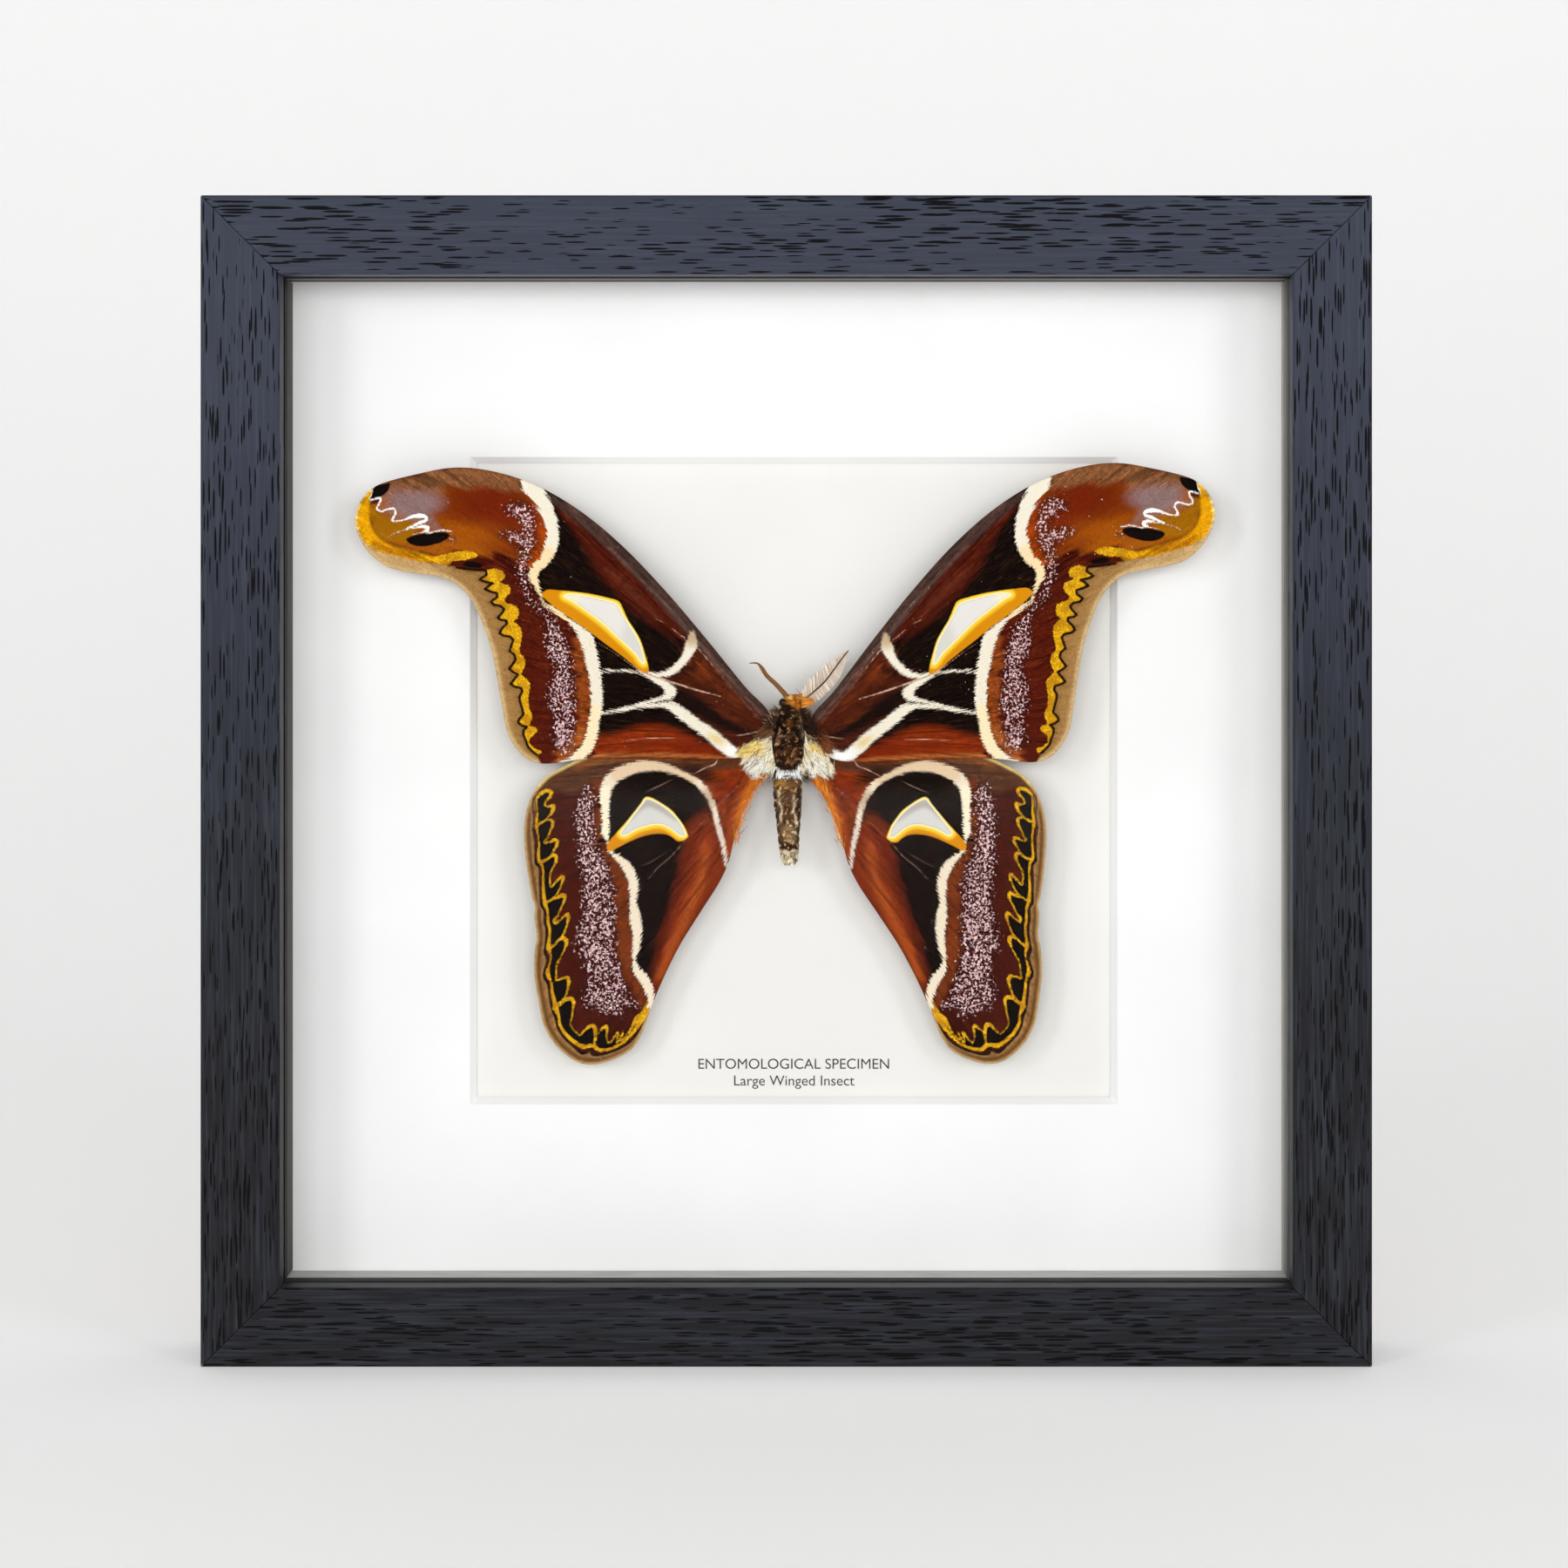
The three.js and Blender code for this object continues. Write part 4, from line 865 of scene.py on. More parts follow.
def scales():
    """Wing scales: painted soft colours with crisp marks from the distances stored on the mesh."""
    s = Shader("wing_scales")
    place = s.place()
    # Grit as fine as the scales, and streaks that run out from the wing's root
    grit = s.noise(place, 2600, 2.0, 0.6)
    fuzz = s.math("MULTIPLY", s.math("SUBTRACT", grit, 0.5), 0.5)
    around = s.math("MULTIPLY", s.attribute("ray"), 60.0)
    outwards = s.math("MULTIPLY", s.attribute("reach"), 0.05)
    rays = s.join(around, outwards, 0.0)
    streaks = s.noise(rays, 0.85, 3.0, 0.65)
    fine_rays = s.noise(rays, 3.0, 2.0, 0.6)
    spikes = s.math("SUBTRACT", fine_rays, 0.5)

    def mark(name, softness=0.16, rough=1.0, spiky=0.0):
        """1 inside a mark and 0 outside, with a rim frayed by the grit and by spikes along the rays."""
        distance = s.math("ADD", s.attribute(name), s.math("MULTIPLY", fuzz, rough))
        distance = s.math("ADD", distance, s.math("MULTIPLY", spikes, spiky))
        return s.step(distance, -softness, softness, 1.0, 0.0)

    # Dark and light streaks along the rays, fainter in the calm parts, and dark mottling
    tone = s.attribute("ground", "Color")
    dark = s.scaled(tone, 0.34)
    light = s.mix(0.04, s.scaled(tone, 1.75), srgb(226, 140, 72))
    strength = s.step(s.attribute("calm"), -1.5, 0.5, 0.25, 1.0)
    tone = s.mix(s.math("MULTIPLY", strength, s.step(streaks, 0.45, 0.66, 0.0, 0.85)), tone, dark)
    tone = s.mix(s.math("MULTIPLY", strength, s.step(fine_rays, 0.5, 0.7, 0.0, 0.85)), tone, light)
    mottle = s.step(s.noise(place, 950, 3.0, 0.65), 0.46, 0.62, 0.0, 0.5)
    tone = s.mix(s.math("MULTIPLY", strength, mottle), tone, dark)
    tone = s.mix(s.step(grit, 0.45, 0.7, 0.0, 0.5), tone, dark)

    # Pale grains, denser towards the middle of their bands
    frost_noise = s.noise(place, 1650, 2.0, 0.6, 0.5)
    frost_share = s.step(s.attribute("frost"), -2.0, 2.0, 0.512, 0.74)
    frost = s.step(s.math("SUBTRACT", frost_noise, frost_share), 0.0, 0.035)
    frost_tone = s.mix(s.step(grit, 0.4, 0.6), srgb(188, 136, 140), srgb(240, 216, 218))
    inside_frost = s.step(s.attribute("frost"), -0.8, 0.8, 0.55, 0.0)
    tone = s.mix(inside_frost, tone, srgb(50, 12, 8))
    tone = s.mix(frost, tone, frost_tone)

    # Marks, the topmost last
    gold_tone = s.mix(s.step(grit, 0.35, 0.65), srgb(244, 190, 24), srgb(192, 132, 16))
    blotches = s.step(s.noise(place, 420, 2.0, 0.6), 0.42, 0.62)
    gold_tone = s.mix(s.math("MULTIPLY", blotches, 0.55), gold_tone, srgb(160, 96, 14))
    tone = s.mix(mark("ink"), tone, srgb(14, 7, 5))
    tone = s.mix(mark("gold", 0.14, 1.6), tone, gold_tone)
    tone = s.mix(mark("ink_line"), tone, srgb(22, 10, 5))
    cream_tone = s.mix(s.step(grit, 0.5, 0.75, 0.0, 0.3), s.attribute("light", "Color"),
                       srgb(196, 160, 130))
    tone = s.mix(mark("cream", 0.24, 2.2, 2.4), tone, cream_tone)
    from_pane = s.attribute("clear")
    amber = s.mix(s.step(from_pane, 0.5, 1.7), srgb(250, 205, 52), srgb(216, 138, 12))
    amber = s.mix(s.step(from_pane, 0.0, 0.55), srgb(252, 244, 190), amber)
    tone = s.mix(mark("amber", 0.18, 0.5), tone, amber)
    # The clear windows show the ground's colour: the card behind painted on, with its painted light and
    # shade.
    window = s.step(from_pane, -0.25, 0.1, 1.0, 0.0)
    tone = s.mix(window, tone, s.attribute("ground", "Color"))
    tone = s.mix(mark("white", 0.14, 1.2), tone, srgb(250, 246, 242))
    broken = s.step(s.noise(place, 700, 2.0, 0.6), 0.38, 0.56, 0.35, 0.95)
    tone = s.mix(s.math("MULTIPLY", mark("vein", 0.12, 0.3), broken), tone, srgb(222, 176, 152))

    ridges = s.math("ADD", s.math("MULTIPLY", fine_rays, 0.6), s.math("MULTIPLY", grit, 0.5))
    raised = s.math("ADD", ridges, s.step(s.attribute("vein"), -0.1, 0.5, 1.2, 0.0))
    return s.finish(tone, grit, (0.62, 0.82), (raised, 0.45, 0.00014), Specular_IOR_Level=0.02)


# Meshes

def add_object(name, data):
    """An object with this data, linked to the scene."""
    thing = bpy.data.objects.new(name, data)
    bpy.context.scene.collection.objects.link(thing)
    return thing


def make_object(name, points, faces, material):
    """A mesh object from points in millimetres; it rides on the root body."""
    mesh = bpy.data.meshes.new(name)
    mesh.from_pydata([tuple(p) for p in np.asarray(points) * MM], [], [tuple(f) for f in faces])
    mesh.validate()
    mesh.shade_smooth()
    mesh.materials.append(material)
    piece = add_object(name, mesh)
    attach(piece, BODY)
    return piece


def store(piece, name, values):
    """Numbers or colours for each point of a mesh, for its material to read."""
    values = np.asarray(values, float)
    kind = "FLOAT_COLOR" if values.ndim == 2 else "FLOAT"
    layer = piece.data.attributes.new(name, kind, "POINT")
    if kind == "FLOAT":
        layer.data.foreach_set("value", values)
    else:
        rgba = np.c_[values, np.ones(len(values))]
        layer.data.foreach_set("color", rgba.ravel())


# Gap between the points of a wing's sheet, and the sheet's thickness
WING_STEP = 0.42
WING_THICKNESS = 0.3


def wing_sheet(outline):
    """Places and triangles of a fine sheet inside a closed outline, with the rim's points first."""
    loop = spline(outline, closed=True, steps=12)
    gaps = np.linalg.norm(np.roll(loop, -1, axis=0) - loop, axis=1)
    travel = np.concatenate([[0], np.cumsum(gaps)])
    closed = np.vstack([loop, loop[:1]])
    count = int(travel[-1] / WING_STEP)
    spots = np.linspace(0, travel[-1], count, endpoint=False)
    rim = np.c_[np.interp(spots, travel, closed[:, 0]), np.interp(spots, travel, closed[:, 1])]
    low, high = rim.min(axis=0), rim.max(axis=0)
    rows = np.arange(low[1], high[1], WING_STEP * math.sqrt(3) / 2)
    grid = []
    for i, z in enumerate(rows):
        xs = np.arange(low[0] + (i % 2) * WING_STEP / 2, high[0], WING_STEP)
        grid.append(np.c_[xs, np.full(len(xs), z)])
    grid = np.vstack(grid)
    grid = grid[area(grid, rim, smooth=False) < -0.55 * WING_STEP]
    points = np.vstack([rim, grid])
    edges = [(i, (i + 1) % count) for i in range(count)]
    result = delaunay_2d_cdt([tuple(p) for p in points], edges, [list(range(count))], 1, 1e-7)
    flat = np.array([tuple(v) for v in result[0]])
    return flat, np.array(result[2]), count


def wing_height_fore(x, z):
    """Y of the forewings' middle surface, a little uneven like a dried wing."""
    lift = -2.5 - (x / 100) ** 2
    return lift + 0.12 * np.sin(z * 0.16 + x * 0.05)


def wing_height_hind(x, z):
    """Y of the hindwings' middle surface, which bends back towards the card at its end."""
    drop = -1.1 + 0.8 * ((142 - z) / 72) ** 2
    return drop + 0.1 * np.sin(x * 0.22 + z * 0.05)


def make_wing(name, sheet, fields, paints, height, root, material, mirror=None):
    """A thin closed wing; with a mirror it is the other side's copy of the same sheet."""
    flat, triangles, rim = sheet
    if mirror is None:
        places = flat
        front = triangles
    else:
        places = np.c_[flat, np.ones(len(flat))] @ mirror.T
        front = triangles[:, ::-1]
    count = len(flat)
    y = height(places[:, 0], places[:, 1])
    half = WING_THICKNESS / 2
    points = np.vstack([
        np.c_[places[:, 0], y - half, places[:, 1]],
        np.c_[places[:, 0], y + half, places[:, 1]],
    ])
    back = front[:, ::-1] + count
    sides = []
    for i in range(rim):
        j = (i + 1) % rim
        sides.append((i, count + i, count + j, j) if mirror is None else (j, count + j, count + i, i))
    faces = [tuple(f) for f in front] + [tuple(f) for f in back] + sides
    piece = make_object(f"{name}_scales", points, faces, material)
    for key, values in fields.items():
        store(piece, key, np.tile(values, 2))
    for key, colours in paints.items():
        store(piece, key, np.vstack([colours, colours]))
    away = flat - np.array(root)
    store(piece, "ray", np.tile(np.arctan2(away[:, 1], -away[:, 0]), 2))
    store(piece, "reach", np.tile(np.hypot(away[:, 0], away[:, 1]), 2))
    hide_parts(name)
    return piece


def make_wings(material):
    """Each left wing, and the right one as its mirrored copy."""
    jobs = (
        ("forewing", FORE_OUTLINE, fore_fields, fore_ground, fore_light, wing_height_fore, FORE_ROOT,
         FORE_MIRROR),
        ("hindwing", HIND_OUTLINE, hind_fields, hind_ground, hind_light, wing_height_hind, HIND_ROOT,
         HIND_MIRROR),
    )
    for name, outline, measure, colour, lighten, height, root, mirror in jobs:
        sheet = wing_sheet(outline)
        where = sheet[0]
        fields = measure(where)
        paints = {"ground": colour(where), "light": lighten(where)}
        make_wing(f"{name}_left", sheet, fields, paints, height, root, material)
        make_wing(f"{name}_right", sheet, fields, paints, height, root, material, mirror)


def dress(node, material):
    """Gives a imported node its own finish."""
    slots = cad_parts[node].data.materials
    slots.clear()
    slots.append(material)


def dress_frame():
    """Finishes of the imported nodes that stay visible."""
    dress("frame_rail_top", wood("wood_top", False, 0.2))
    dress("frame_rail_bottom", wood("wood_bottom", False, 0.10))
    dress("frame_rail_left", wood("wood_left", True, 0.02))
    dress("frame_rail_right", wood("wood_right", True, 0.12))
    dress("glass_pane", glazing())
    dress("mat_board", paper("mat_paper", (249, 248, 248)))
    dress("backing_card", paper("card_paper", (240, 237, 234)))
    # The walls' tones are painted light and shade: each side is darker or paler by how the light falls on
    # it.
    dress("spacer_left", painted_shade_wall("slip_left", True, (34, 31, 29), (84, 80, 76), (88, 84, 81)))
    dress("spacer_right", painted_shade_wall("slip_right", True, (96, 94, 92), (134, 131, 127), (177, 174, 169)))
    dress("spacer_top", painted_shade_wall("slip_top", False, (26, 24, 24), (128, 125, 121), (38, 34, 32)))
    dress("spacer_bottom", painted_shade_wall("slip_bottom", False, (46, 45, 47), (200, 197, 196), (198, 195, 194)))
    dress("backboard", fibreboard())
    metal = steel()
    for node in list(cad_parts):
        if node.startswith(("retaining_tab", "hanger_rivet")) or node == "sawtooth_hanger":
            dress(node, metal)
    dress("specimen_riser", paper("foam", (236, 236, 230), 0.5))


# Body, as in the part: z, centre x and y, half width, half depth

BODY_SECTIONS = [
    (160.4, 2.0, -2.2, 0.9, 0.9), (159.6, 1.9, -2.1, 2.0, 1.9), (158.2, 1.6, -2.0, 2.7, 2.6),
    (156.6, 1.2, -1.9, 2.9, 2.9), (155.6, 0.9, -1.8, 3.1, 3.2), (153.6, 0.6, -1.8, 4.2, 4.3),
    (150, 0.4, -1.8, 4.7, 4.9), (146, 0.4, -1.8, 4.4, 4.6), (143.4, 0.4, -1.8, 3.8, 4.0),
    (141.5, 0.3, -1.7, 3.4, 3.4), (139, 0.15, -1.6, 3.7, 3.6), (135, 0.2, -1.6, 3.7, 3.5),
    (131, 0.3, -1.6, 3.3, 3.2), (127, 0.4, -1.6, 2.9, 2.9), (123, 0.5, -1.6, 2.6, 2.6),
    (120.4, 0.6, -1.6, 2.3, 2.3), (119, 0.6, -1.6, 1.3, 1.4),
]
SKIN_DEPTH = 0.45
CROWN = 160.35
TAIL = 119.05
# Length of a ring of the abdomen, and the height that the rings are counted from
SEGMENT = 2.75
FIRST_RING = 119.6
EYES = [(-1.0, -3.0, 158.3, 0.98), (3.7, -3.2, 157.1, 0.8)]


def body_places(z, angle, out):
    """Places on the body at heights z and angles around it (0 towards +x), moved outwards by out."""
    table = np.array(BODY_SECTIONS)[::-1]
    cx, cy, rx, ry = (np.interp(z, table[:, 0], table[:, i]) for i in range(1, 5))
    return np.c_[cx + (rx + out) * np.cos(angle), cy + (ry + out) * np.sin(angle), z]


def body_paint(where):
    """Colours of the body seen from the front: thorax, collar, abdomen and head."""
    ground = Ground(where, (40, 24, 14))
    dark, cream = (22, 12, 8), (240, 218, 180)
    for x, z, wide, tall, colour in (
        (-1.2, 155.4, 1.6, 1.0, dark), (0.7, 153.2, 0.9, 1.0, (92, 54, 20)),
        (2.9, 155.5, 0.9, 0.6, (126, 92, 56)), (-2.3, 156.2, 1.3, 0.7, (196, 174, 142)),
        (3.6, 152, 0.5, 2.4, (138, 112, 88)), (5.0, 152.4, 1.3, 2.6, (16, 9, 7)),
        (-1.5, 150.4, 0.7, 0.4, (132, 96, 72)), (0.5, 150.3, 0.6, 0.4, (120, 84, 60)),
        (2.2, 151.6, 1.2, 1.4, (24, 12, 7)), (-1.8, 152.4, 1.6, 1.5, dark),
        (-2.1, 149, 0.8, 0.7, (96, 66, 46)), (0, 148.5, 1.0, 0.6, (36, 19, 10)),
        (2.2, 149, 1.0, 0.8, (34, 16, 7)), (-2, 146.2, 0.8, 1.4, (74, 43, 21)),
        (0.2, 146.2, 0.7, 1.5, (92, 54, 26)), (2.1, 146.2, 0.7, 1.5, (92, 53, 27)),
        (1.2, 144.2, 1.2, 0.7, (112, 78, 46)), (-0.8, 144.2, 1.0, 0.7, (44, 26, 14)),
        (-3.6, 151, 0.6, 1.8, (96, 68, 46)),
    ):
        ground.paint(blob(where, x, z, wide, tall), 0.9, colour, 0.9)
    ground.field([(-5, 143.4), (-2.6, 143.2), (-1.6, 142.3), (0.6, 142.0), (2.0, 142.5), (3.2, 143.6),
                  (6, 143.4), (6, 140.5), (3.4, 140.2), (2.4, 140.8), (0.4, 140.9), (-1.4, 140.5),
                  (-2.4, 140.2), (-5, 140.4)], 0.3, (255, 253, 249), smooth=False)
    ground.field([(-5, 140.3), (-2.4, 140.1), (-1.4, 140.4), (0.4, 140.8), (2.4, 140.7), (3.4, 140.1),
                  (6, 140.3), (6, 118), (-5, 118)], 0.3, (98, 65, 38), smooth=False)
    ground.band([(-4, 140.1, 0.5), (5, 140.1, 0.5)], 0.5, (26, 17, 11), 0.9)
    ground.spot(-1.6, 138.6, 1.5, 1.0, 0, (176, 128, 62))
    ground.spot(1.6, 138.0, 1.6, 1.2, 0, (124, 88, 50), 0.9)
    ground.spot(-2.0, 136.9, 0.7, 0.7, 0, (196, 166, 120), 0.8)
    ground.band([(0.1, 137, 1.5), (0.2, 132, 1.7), (0.4, 129.4, 1.4)], 0.8, (84, 54, 30), 0.9)
    ground.band([(-3.1, 136.4, 1.0), (-2.7, 131, 0.9), (-2.2, 124, 0.8)], 0.5, (48, 30, 20))
    ground.band([(2.9, 137, 0.9), (2.9, 131, 0.8), (2.8, 124, 0.7)], 0.5, (56, 36, 24))
    ground.band([(3.9, 138.5, 0.5), (3.8, 134, 0.5), (3.3, 128, 0.4)], 0.4, (160, 134, 100), 0.8)
    ground.band([(-1.9, 136, 0.4), (-1.7, 134.2, 0.5), (-1.2, 132.6, 0.35), (-1.5, 130.9, 0.6),
                 (-1.2, 129.4, 0.4)], 0.3, (224, 202, 168))
    ground.band([(1.6, 136, 0.3), (1.9, 133.6, 0.45), (1.7, 132, 0.3), (2.2, 130.2, 0.5),
                 (2.3, 128.4, 0.4)], 0.3, (218, 196, 162))
    ground.spot(0.5, 127, 1.2, 1.7, 0, (176, 140, 98), 0.9)
    ground.spot(-1.2, 126.8, 0.7, 1.2, 0, (126, 94, 62), 0.8)
    ground.spot(2.1, 126.2, 0.6, 1.2, 0, (128, 98, 66), 0.8)
    ground.band([(-1.4, 123.9, 1.2), (2.4, 123.6, 1.3)], 0.6, (44, 28, 17), 0.95)
    ground.band([(-0.6, 124.9, 0.3), (1.2, 124.9, 0.35), (2.4, 124.2, 0.3)], 0.3, (196, 168, 126))
    ground.field([(-3, 122.4), (-0.4, 122.7), (0.6, 122.2), (1.6, 122.8), (4, 122.2), (4, 118),
                  (-3, 118)], 0.6, cream, 0.95, smooth=False)
    ground.spot(-0.6, 121.3, 0.5, 0.35, 0, (96, 70, 42), 0.9)
    ground.spot(1.3, 121.7, 0.6, 0.4, 0, (90, 64, 38), 0.9)
    ground.field([(0, 160), (1.2, 161.2), (2.3, 160.5), (3.4, 161.2), (4.6, 160), (5, 158.8),
                  (4.1, 158.1), (3.2, 157.7), (2.6, 157.1), (1.8, 157.2), (1.0, 157.8), (0.2, 158.1),
                  (-0.4, 159)], 0.5, (200, 126, 46))
    ground.spot(1.1, 159.7, 0.5, 0.6, 0, (232, 172, 98), 0.9)
    ground.spot(3.2, 159.6, 0.6, 0.5, 0, (226, 160, 84), 0.9)
    ground.spot(2.1, 158.7, 0.35, 0.9, 0, (122, 66, 20), 0.9)
    ground.spot(3.6, 158.3, 0.5, 0.3, 0, (116, 66, 24), 0.8)
    ground.spot(1.2, 158.4, 0.5, 0.5, 0, (216, 144, 60), 0.8)
    return ground.colours


def fur_with_painted_glow():
    """Soft matt fur that takes its colour from the mesh and glows faintly in that colour, a painted light
    that brightens it.
    """
    s = Shader("fur")
    tone = s.attribute("ground", "Color")
    flecks = s.noise(s.place(), 3200, 2.0, 0.6)
    dim = s.mix(0.2, tone, (0.0, 0.0, 0.0))
    flecked = s.mix(s.step(flecks, 0.4, 0.65), dim, tone)
    # The glow in the fur's own colour is painted light.
    return s.finish(flecked, flecks, (0.7, 0.9), (flecks, 0.3, 0.0001), Specular_IOR_Level=0.05,
                    Emission_Color=tone, Emission_Strength=0.24)


def horn_material():
    """Shiny black of the eyes."""
    s = Shader("eye_gloss")
    grain = s.noise(s.place(), 4200, 2.0, 0.5)
    tone = s.mix(s.step(grain, 0.4, 0.7), srgb(12, 9, 8), srgb(34, 26, 22))
    return s.finish(tone, grain, (0.16, 0.3), (grain, 0.2, 0.00004))


def unit(rows):
    """Each row as a vector of length 1."""
    return rows / np.maximum(np.linalg.norm(rows, axis=1, keepdims=True), 1e-9)


def make_hairs(name, base, lean, droop, length, width, colours, facing, material, slot_name, replaced,
               waist=0.5):
    """Tapering three-sided hairs that start along lean and bend by droop times their length.

    The waist is the share of the length up to which they stay almost as wide as at the root.
    They are shaded as if they faced along facing, the way a coat of fur does.
    """
    count = len(base)
    length = length[:, None]
    lean = unit(lean)
    across = unit(np.cross(lean, np.array([0.31, 0.83, 0.46])))
    other = np.cross(lean, across)
    middle = base + lean * length * waist + droop * length * waist ** 2
    tip = base + lean * length + droop * length
    points = np.zeros((count, 7, 3))
    for side in range(3):
        angle = side * 2 * math.pi / 3
        ray = (math.cos(angle) * across + math.sin(angle) * other) * width[:, None] / 2
        points[:, side] = base + ray
        points[:, side + 3] = middle + ray * 0.75
    points[:, 6] = tip
    pattern = [(0, 1, 4, 3), (1, 2, 5, 4), (2, 0, 3, 5), (3, 4, 6), (4, 5, 6), (5, 3, 6), (2, 1, 0)]
    faces = []
    for start in range(0, count * 7, 7):
        faces += [tuple(start + i for i in face) for face in pattern]
    piece = make_object(name, points.reshape(-1, 3), faces, material)
    piece.data.normals_split_custom_set_from_vertices(np.repeat(unit(facing), 7, axis=0))
    # Painted shade at each hair's root and painted light at its tip.
    shade = np.repeat(colours[:, None, :], 7, axis=1)
    shade[:, :3] *= 0.85
    shade[:, 6] *= 1.1
    store(piece, "ground", np.clip(shade, 0, 1).reshape(-1, 3))
    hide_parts(replaced)
    return piece


def ring_faces(rings, sides):
    """Faces of a closed tube whose rings of points follow one another, with a cap on each end."""
    faces = [tuple(range(sides))]
    for ring in range(rings - 1):
        for side in range(sides):
            a, b = ring * sides + side, ring * sides + (side + 1) % sides
            faces.append((a, a + sides, b + sides, b))
    faces.append(tuple(rings * sides - 1 - i for i in range(sides)))
    return faces


def make_tube(name, path, sides, colours, material, replaced):
    """A closed tube along rows of x, y, z and radius."""
    rows = np.array(path, float)
    forward = unit(np.gradient(rows[:, :3], axis=0))
    across = unit(np.cross(forward, np.array([0.1, 1.0, 0.05])))
    other = np.cross(forward, across)
    points = []
    for row, u, v in zip(rows, across, other):
        for side in range(sides):
            angle = side * 2 * math.pi / sides
            points.append(row[:3] + row[3] * (math.cos(angle) * u + math.sin(angle) * v))
    piece = make_object(name, points, ring_faces(len(rows), sides), material)
    store(piece, "ground", np.repeat(colours, sides, axis=0))
    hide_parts(replaced)
    return piece


def make_body(fur, gloss):
    """A core a little inside the solid body, with eyes, fur and tufts on it."""
    rng = np.random.default_rng(7)
    rows, sides = 190, 56
    heights = np.linspace(CROWN, TAIL, rows)
    angles = np.linspace(0, 2 * math.pi, sides, endpoint=False)
    z, angle = (grid.ravel() for grid in np.meshgrid(heights, angles, indexing="ij"))
    lumps = 0.16 * np.sin(3 * angle + 1.7 * z) * np.sin(1.3 * z + 0.7) + 0.1 * np.sin(7 * angle - 2.9 * z)
    rings = np.where(z < 140.4, 0.22 * np.cos((z - FIRST_RING) / SEGMENT * 2 * math.pi), 0)
    collar = 0.35 * np.exp(-((z - 141.8) / 0.9) ** 2)
    ends = np.interp(z, [TAIL, TAIL + 0.75, CROWN - 0.55, CROWN], [0.6, 0, 0, 0.5])
    points = body_places(z, angle, lumps + rings + collar - SKIN_DEPTH - ends)
    core = make_object("body_core", points, ring_faces(rows, sides), fur)
    store(core, "ground", body_paint(points[:, [0, 2]]) * 0.8)
    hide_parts("moth_body")
    for number, (x, y, z, radius) in enumerate(EYES):
        make_eye(f"eye_{number + 1}", (x, y, z), radius, gloss)
    make_body_fur(rng, fur)
    make_root_tufts(rng, fur)


def make_eye(name, centre, radius, gloss):
    """A slightly flattened faceted eye."""
    rings, sides = 14, 22
    points = [(0, 0, 1)]
    for ring in range(1, rings):
        polar = ring / rings * math.pi
        for side in range(sides):
            turn = side / sides * 2 * math.pi
            out = math.sin(polar)
            points.append((out * math.cos(turn), out * math.sin(turn), math.cos(polar)))
    points.append((0, 0, -1))
    faces = []
    for side in range(sides):
        after = (side + 1) % sides
        faces.append((0, 1 + side, 1 + after))
        last = 1 + (rings - 2) * sides
        faces.append((last + after, last + side, len(points) - 1))
        for ring in range(rings - 2):
            a, b = 1 + ring * sides + side, 1 + ring * sides + after
            faces.append((a, a + sides, b + sides, b))
    points = np.array(points) * np.array([0.92, 1.0, 1.08]) * radius + np.array(centre)
    eye = make_object(name, points, faces, gloss)
    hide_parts("moth_body")


def vary(rng, colours, spread):
    """Each hair a little lighter or darker than its neighbours."""
    factor = np.exp(rng.normal(0, spread, (len(colours), 1)))
    return np.clip(colours * factor, 0, 1)


def ripples(where, seed, low, high):
    """Smooth random values around 0 made of crossing waves, low to high radians a millimetre."""
    rng = np.random.default_rng(seed)
    total = np.zeros(len(where))
    for _ in range(14):
        turn = rng.uniform(0, 2 * math.pi)
        pace = rng.uniform(low, high)
        along = where[:, 0] * math.cos(turn) + where[:, 1] * math.sin(turn)
        total += np.cos(pace * along + rng.uniform(0, 7))
    return total / math.sqrt(7)


# Lowest and highest root and number of the hairs on the thorax, the abdomen and the head
FUR_ZONES = [(142.6, 157.4, 10500), (119.2, 143, 8000), (156.8, 160.2, 1500)]
THORAX, ABDOMEN, HEAD = 0, 1, 2
# Height below which the abdomen shows rings and flecks
WAIST = 139.5
# Lowest and highest z of the white collar, and the length of its hairs
COLLAR = (140.6, 143.2)
COLLAR_HAIR = 1.2


def in_collar(z):
    """Whether heights lie in the white collar between thorax and abdomen."""
    return (z > COLLAR[0]) & (z < COLLAR[1])


def body_hair_colours(rng, flat, kind, clumps, whirl, mottle):
    """The body's own colours, lighter and darker in clumps, with dark joints between the rings."""
    z = flat[:, 1]
    colours = body_paint(flat + rng.normal(0, 0.12, flat.shape))
    bright = rng.random(len(z)) < np.where(clumps > 0.8, 0.3, 0.02)
    colours = np.where((bright & (kind == THORAX))[:, None], srgb(150, 108, 72), colours)
    ringed = (kind == ABDOMEN) & (z < WAIST)
    fleck = ringed & (mottle > 0.9) & (rng.random(len(z)) < 0.7)
    colours = np.where(fleck[:, None], srgb(152, 118, 80), colours)
    ring = (z - FIRST_RING + 0.25 * whirl) / SEGMENT
    joint = np.where(ringed & (np.abs(ring - np.round(ring)) < 0.1), -0.7, 0.08)
    coarse = np.choose(kind, [0.5, 0.6, 0.3]) * clumps
    finer = np.choose(kind, [0.2, 0.6, 0.2]) * mottle
    tone = np.where(in_collar(z), 1.0, np.exp(coarse + finer + joint - 0.1))
    return vary(rng, colours * tone[:, None], 0.3)


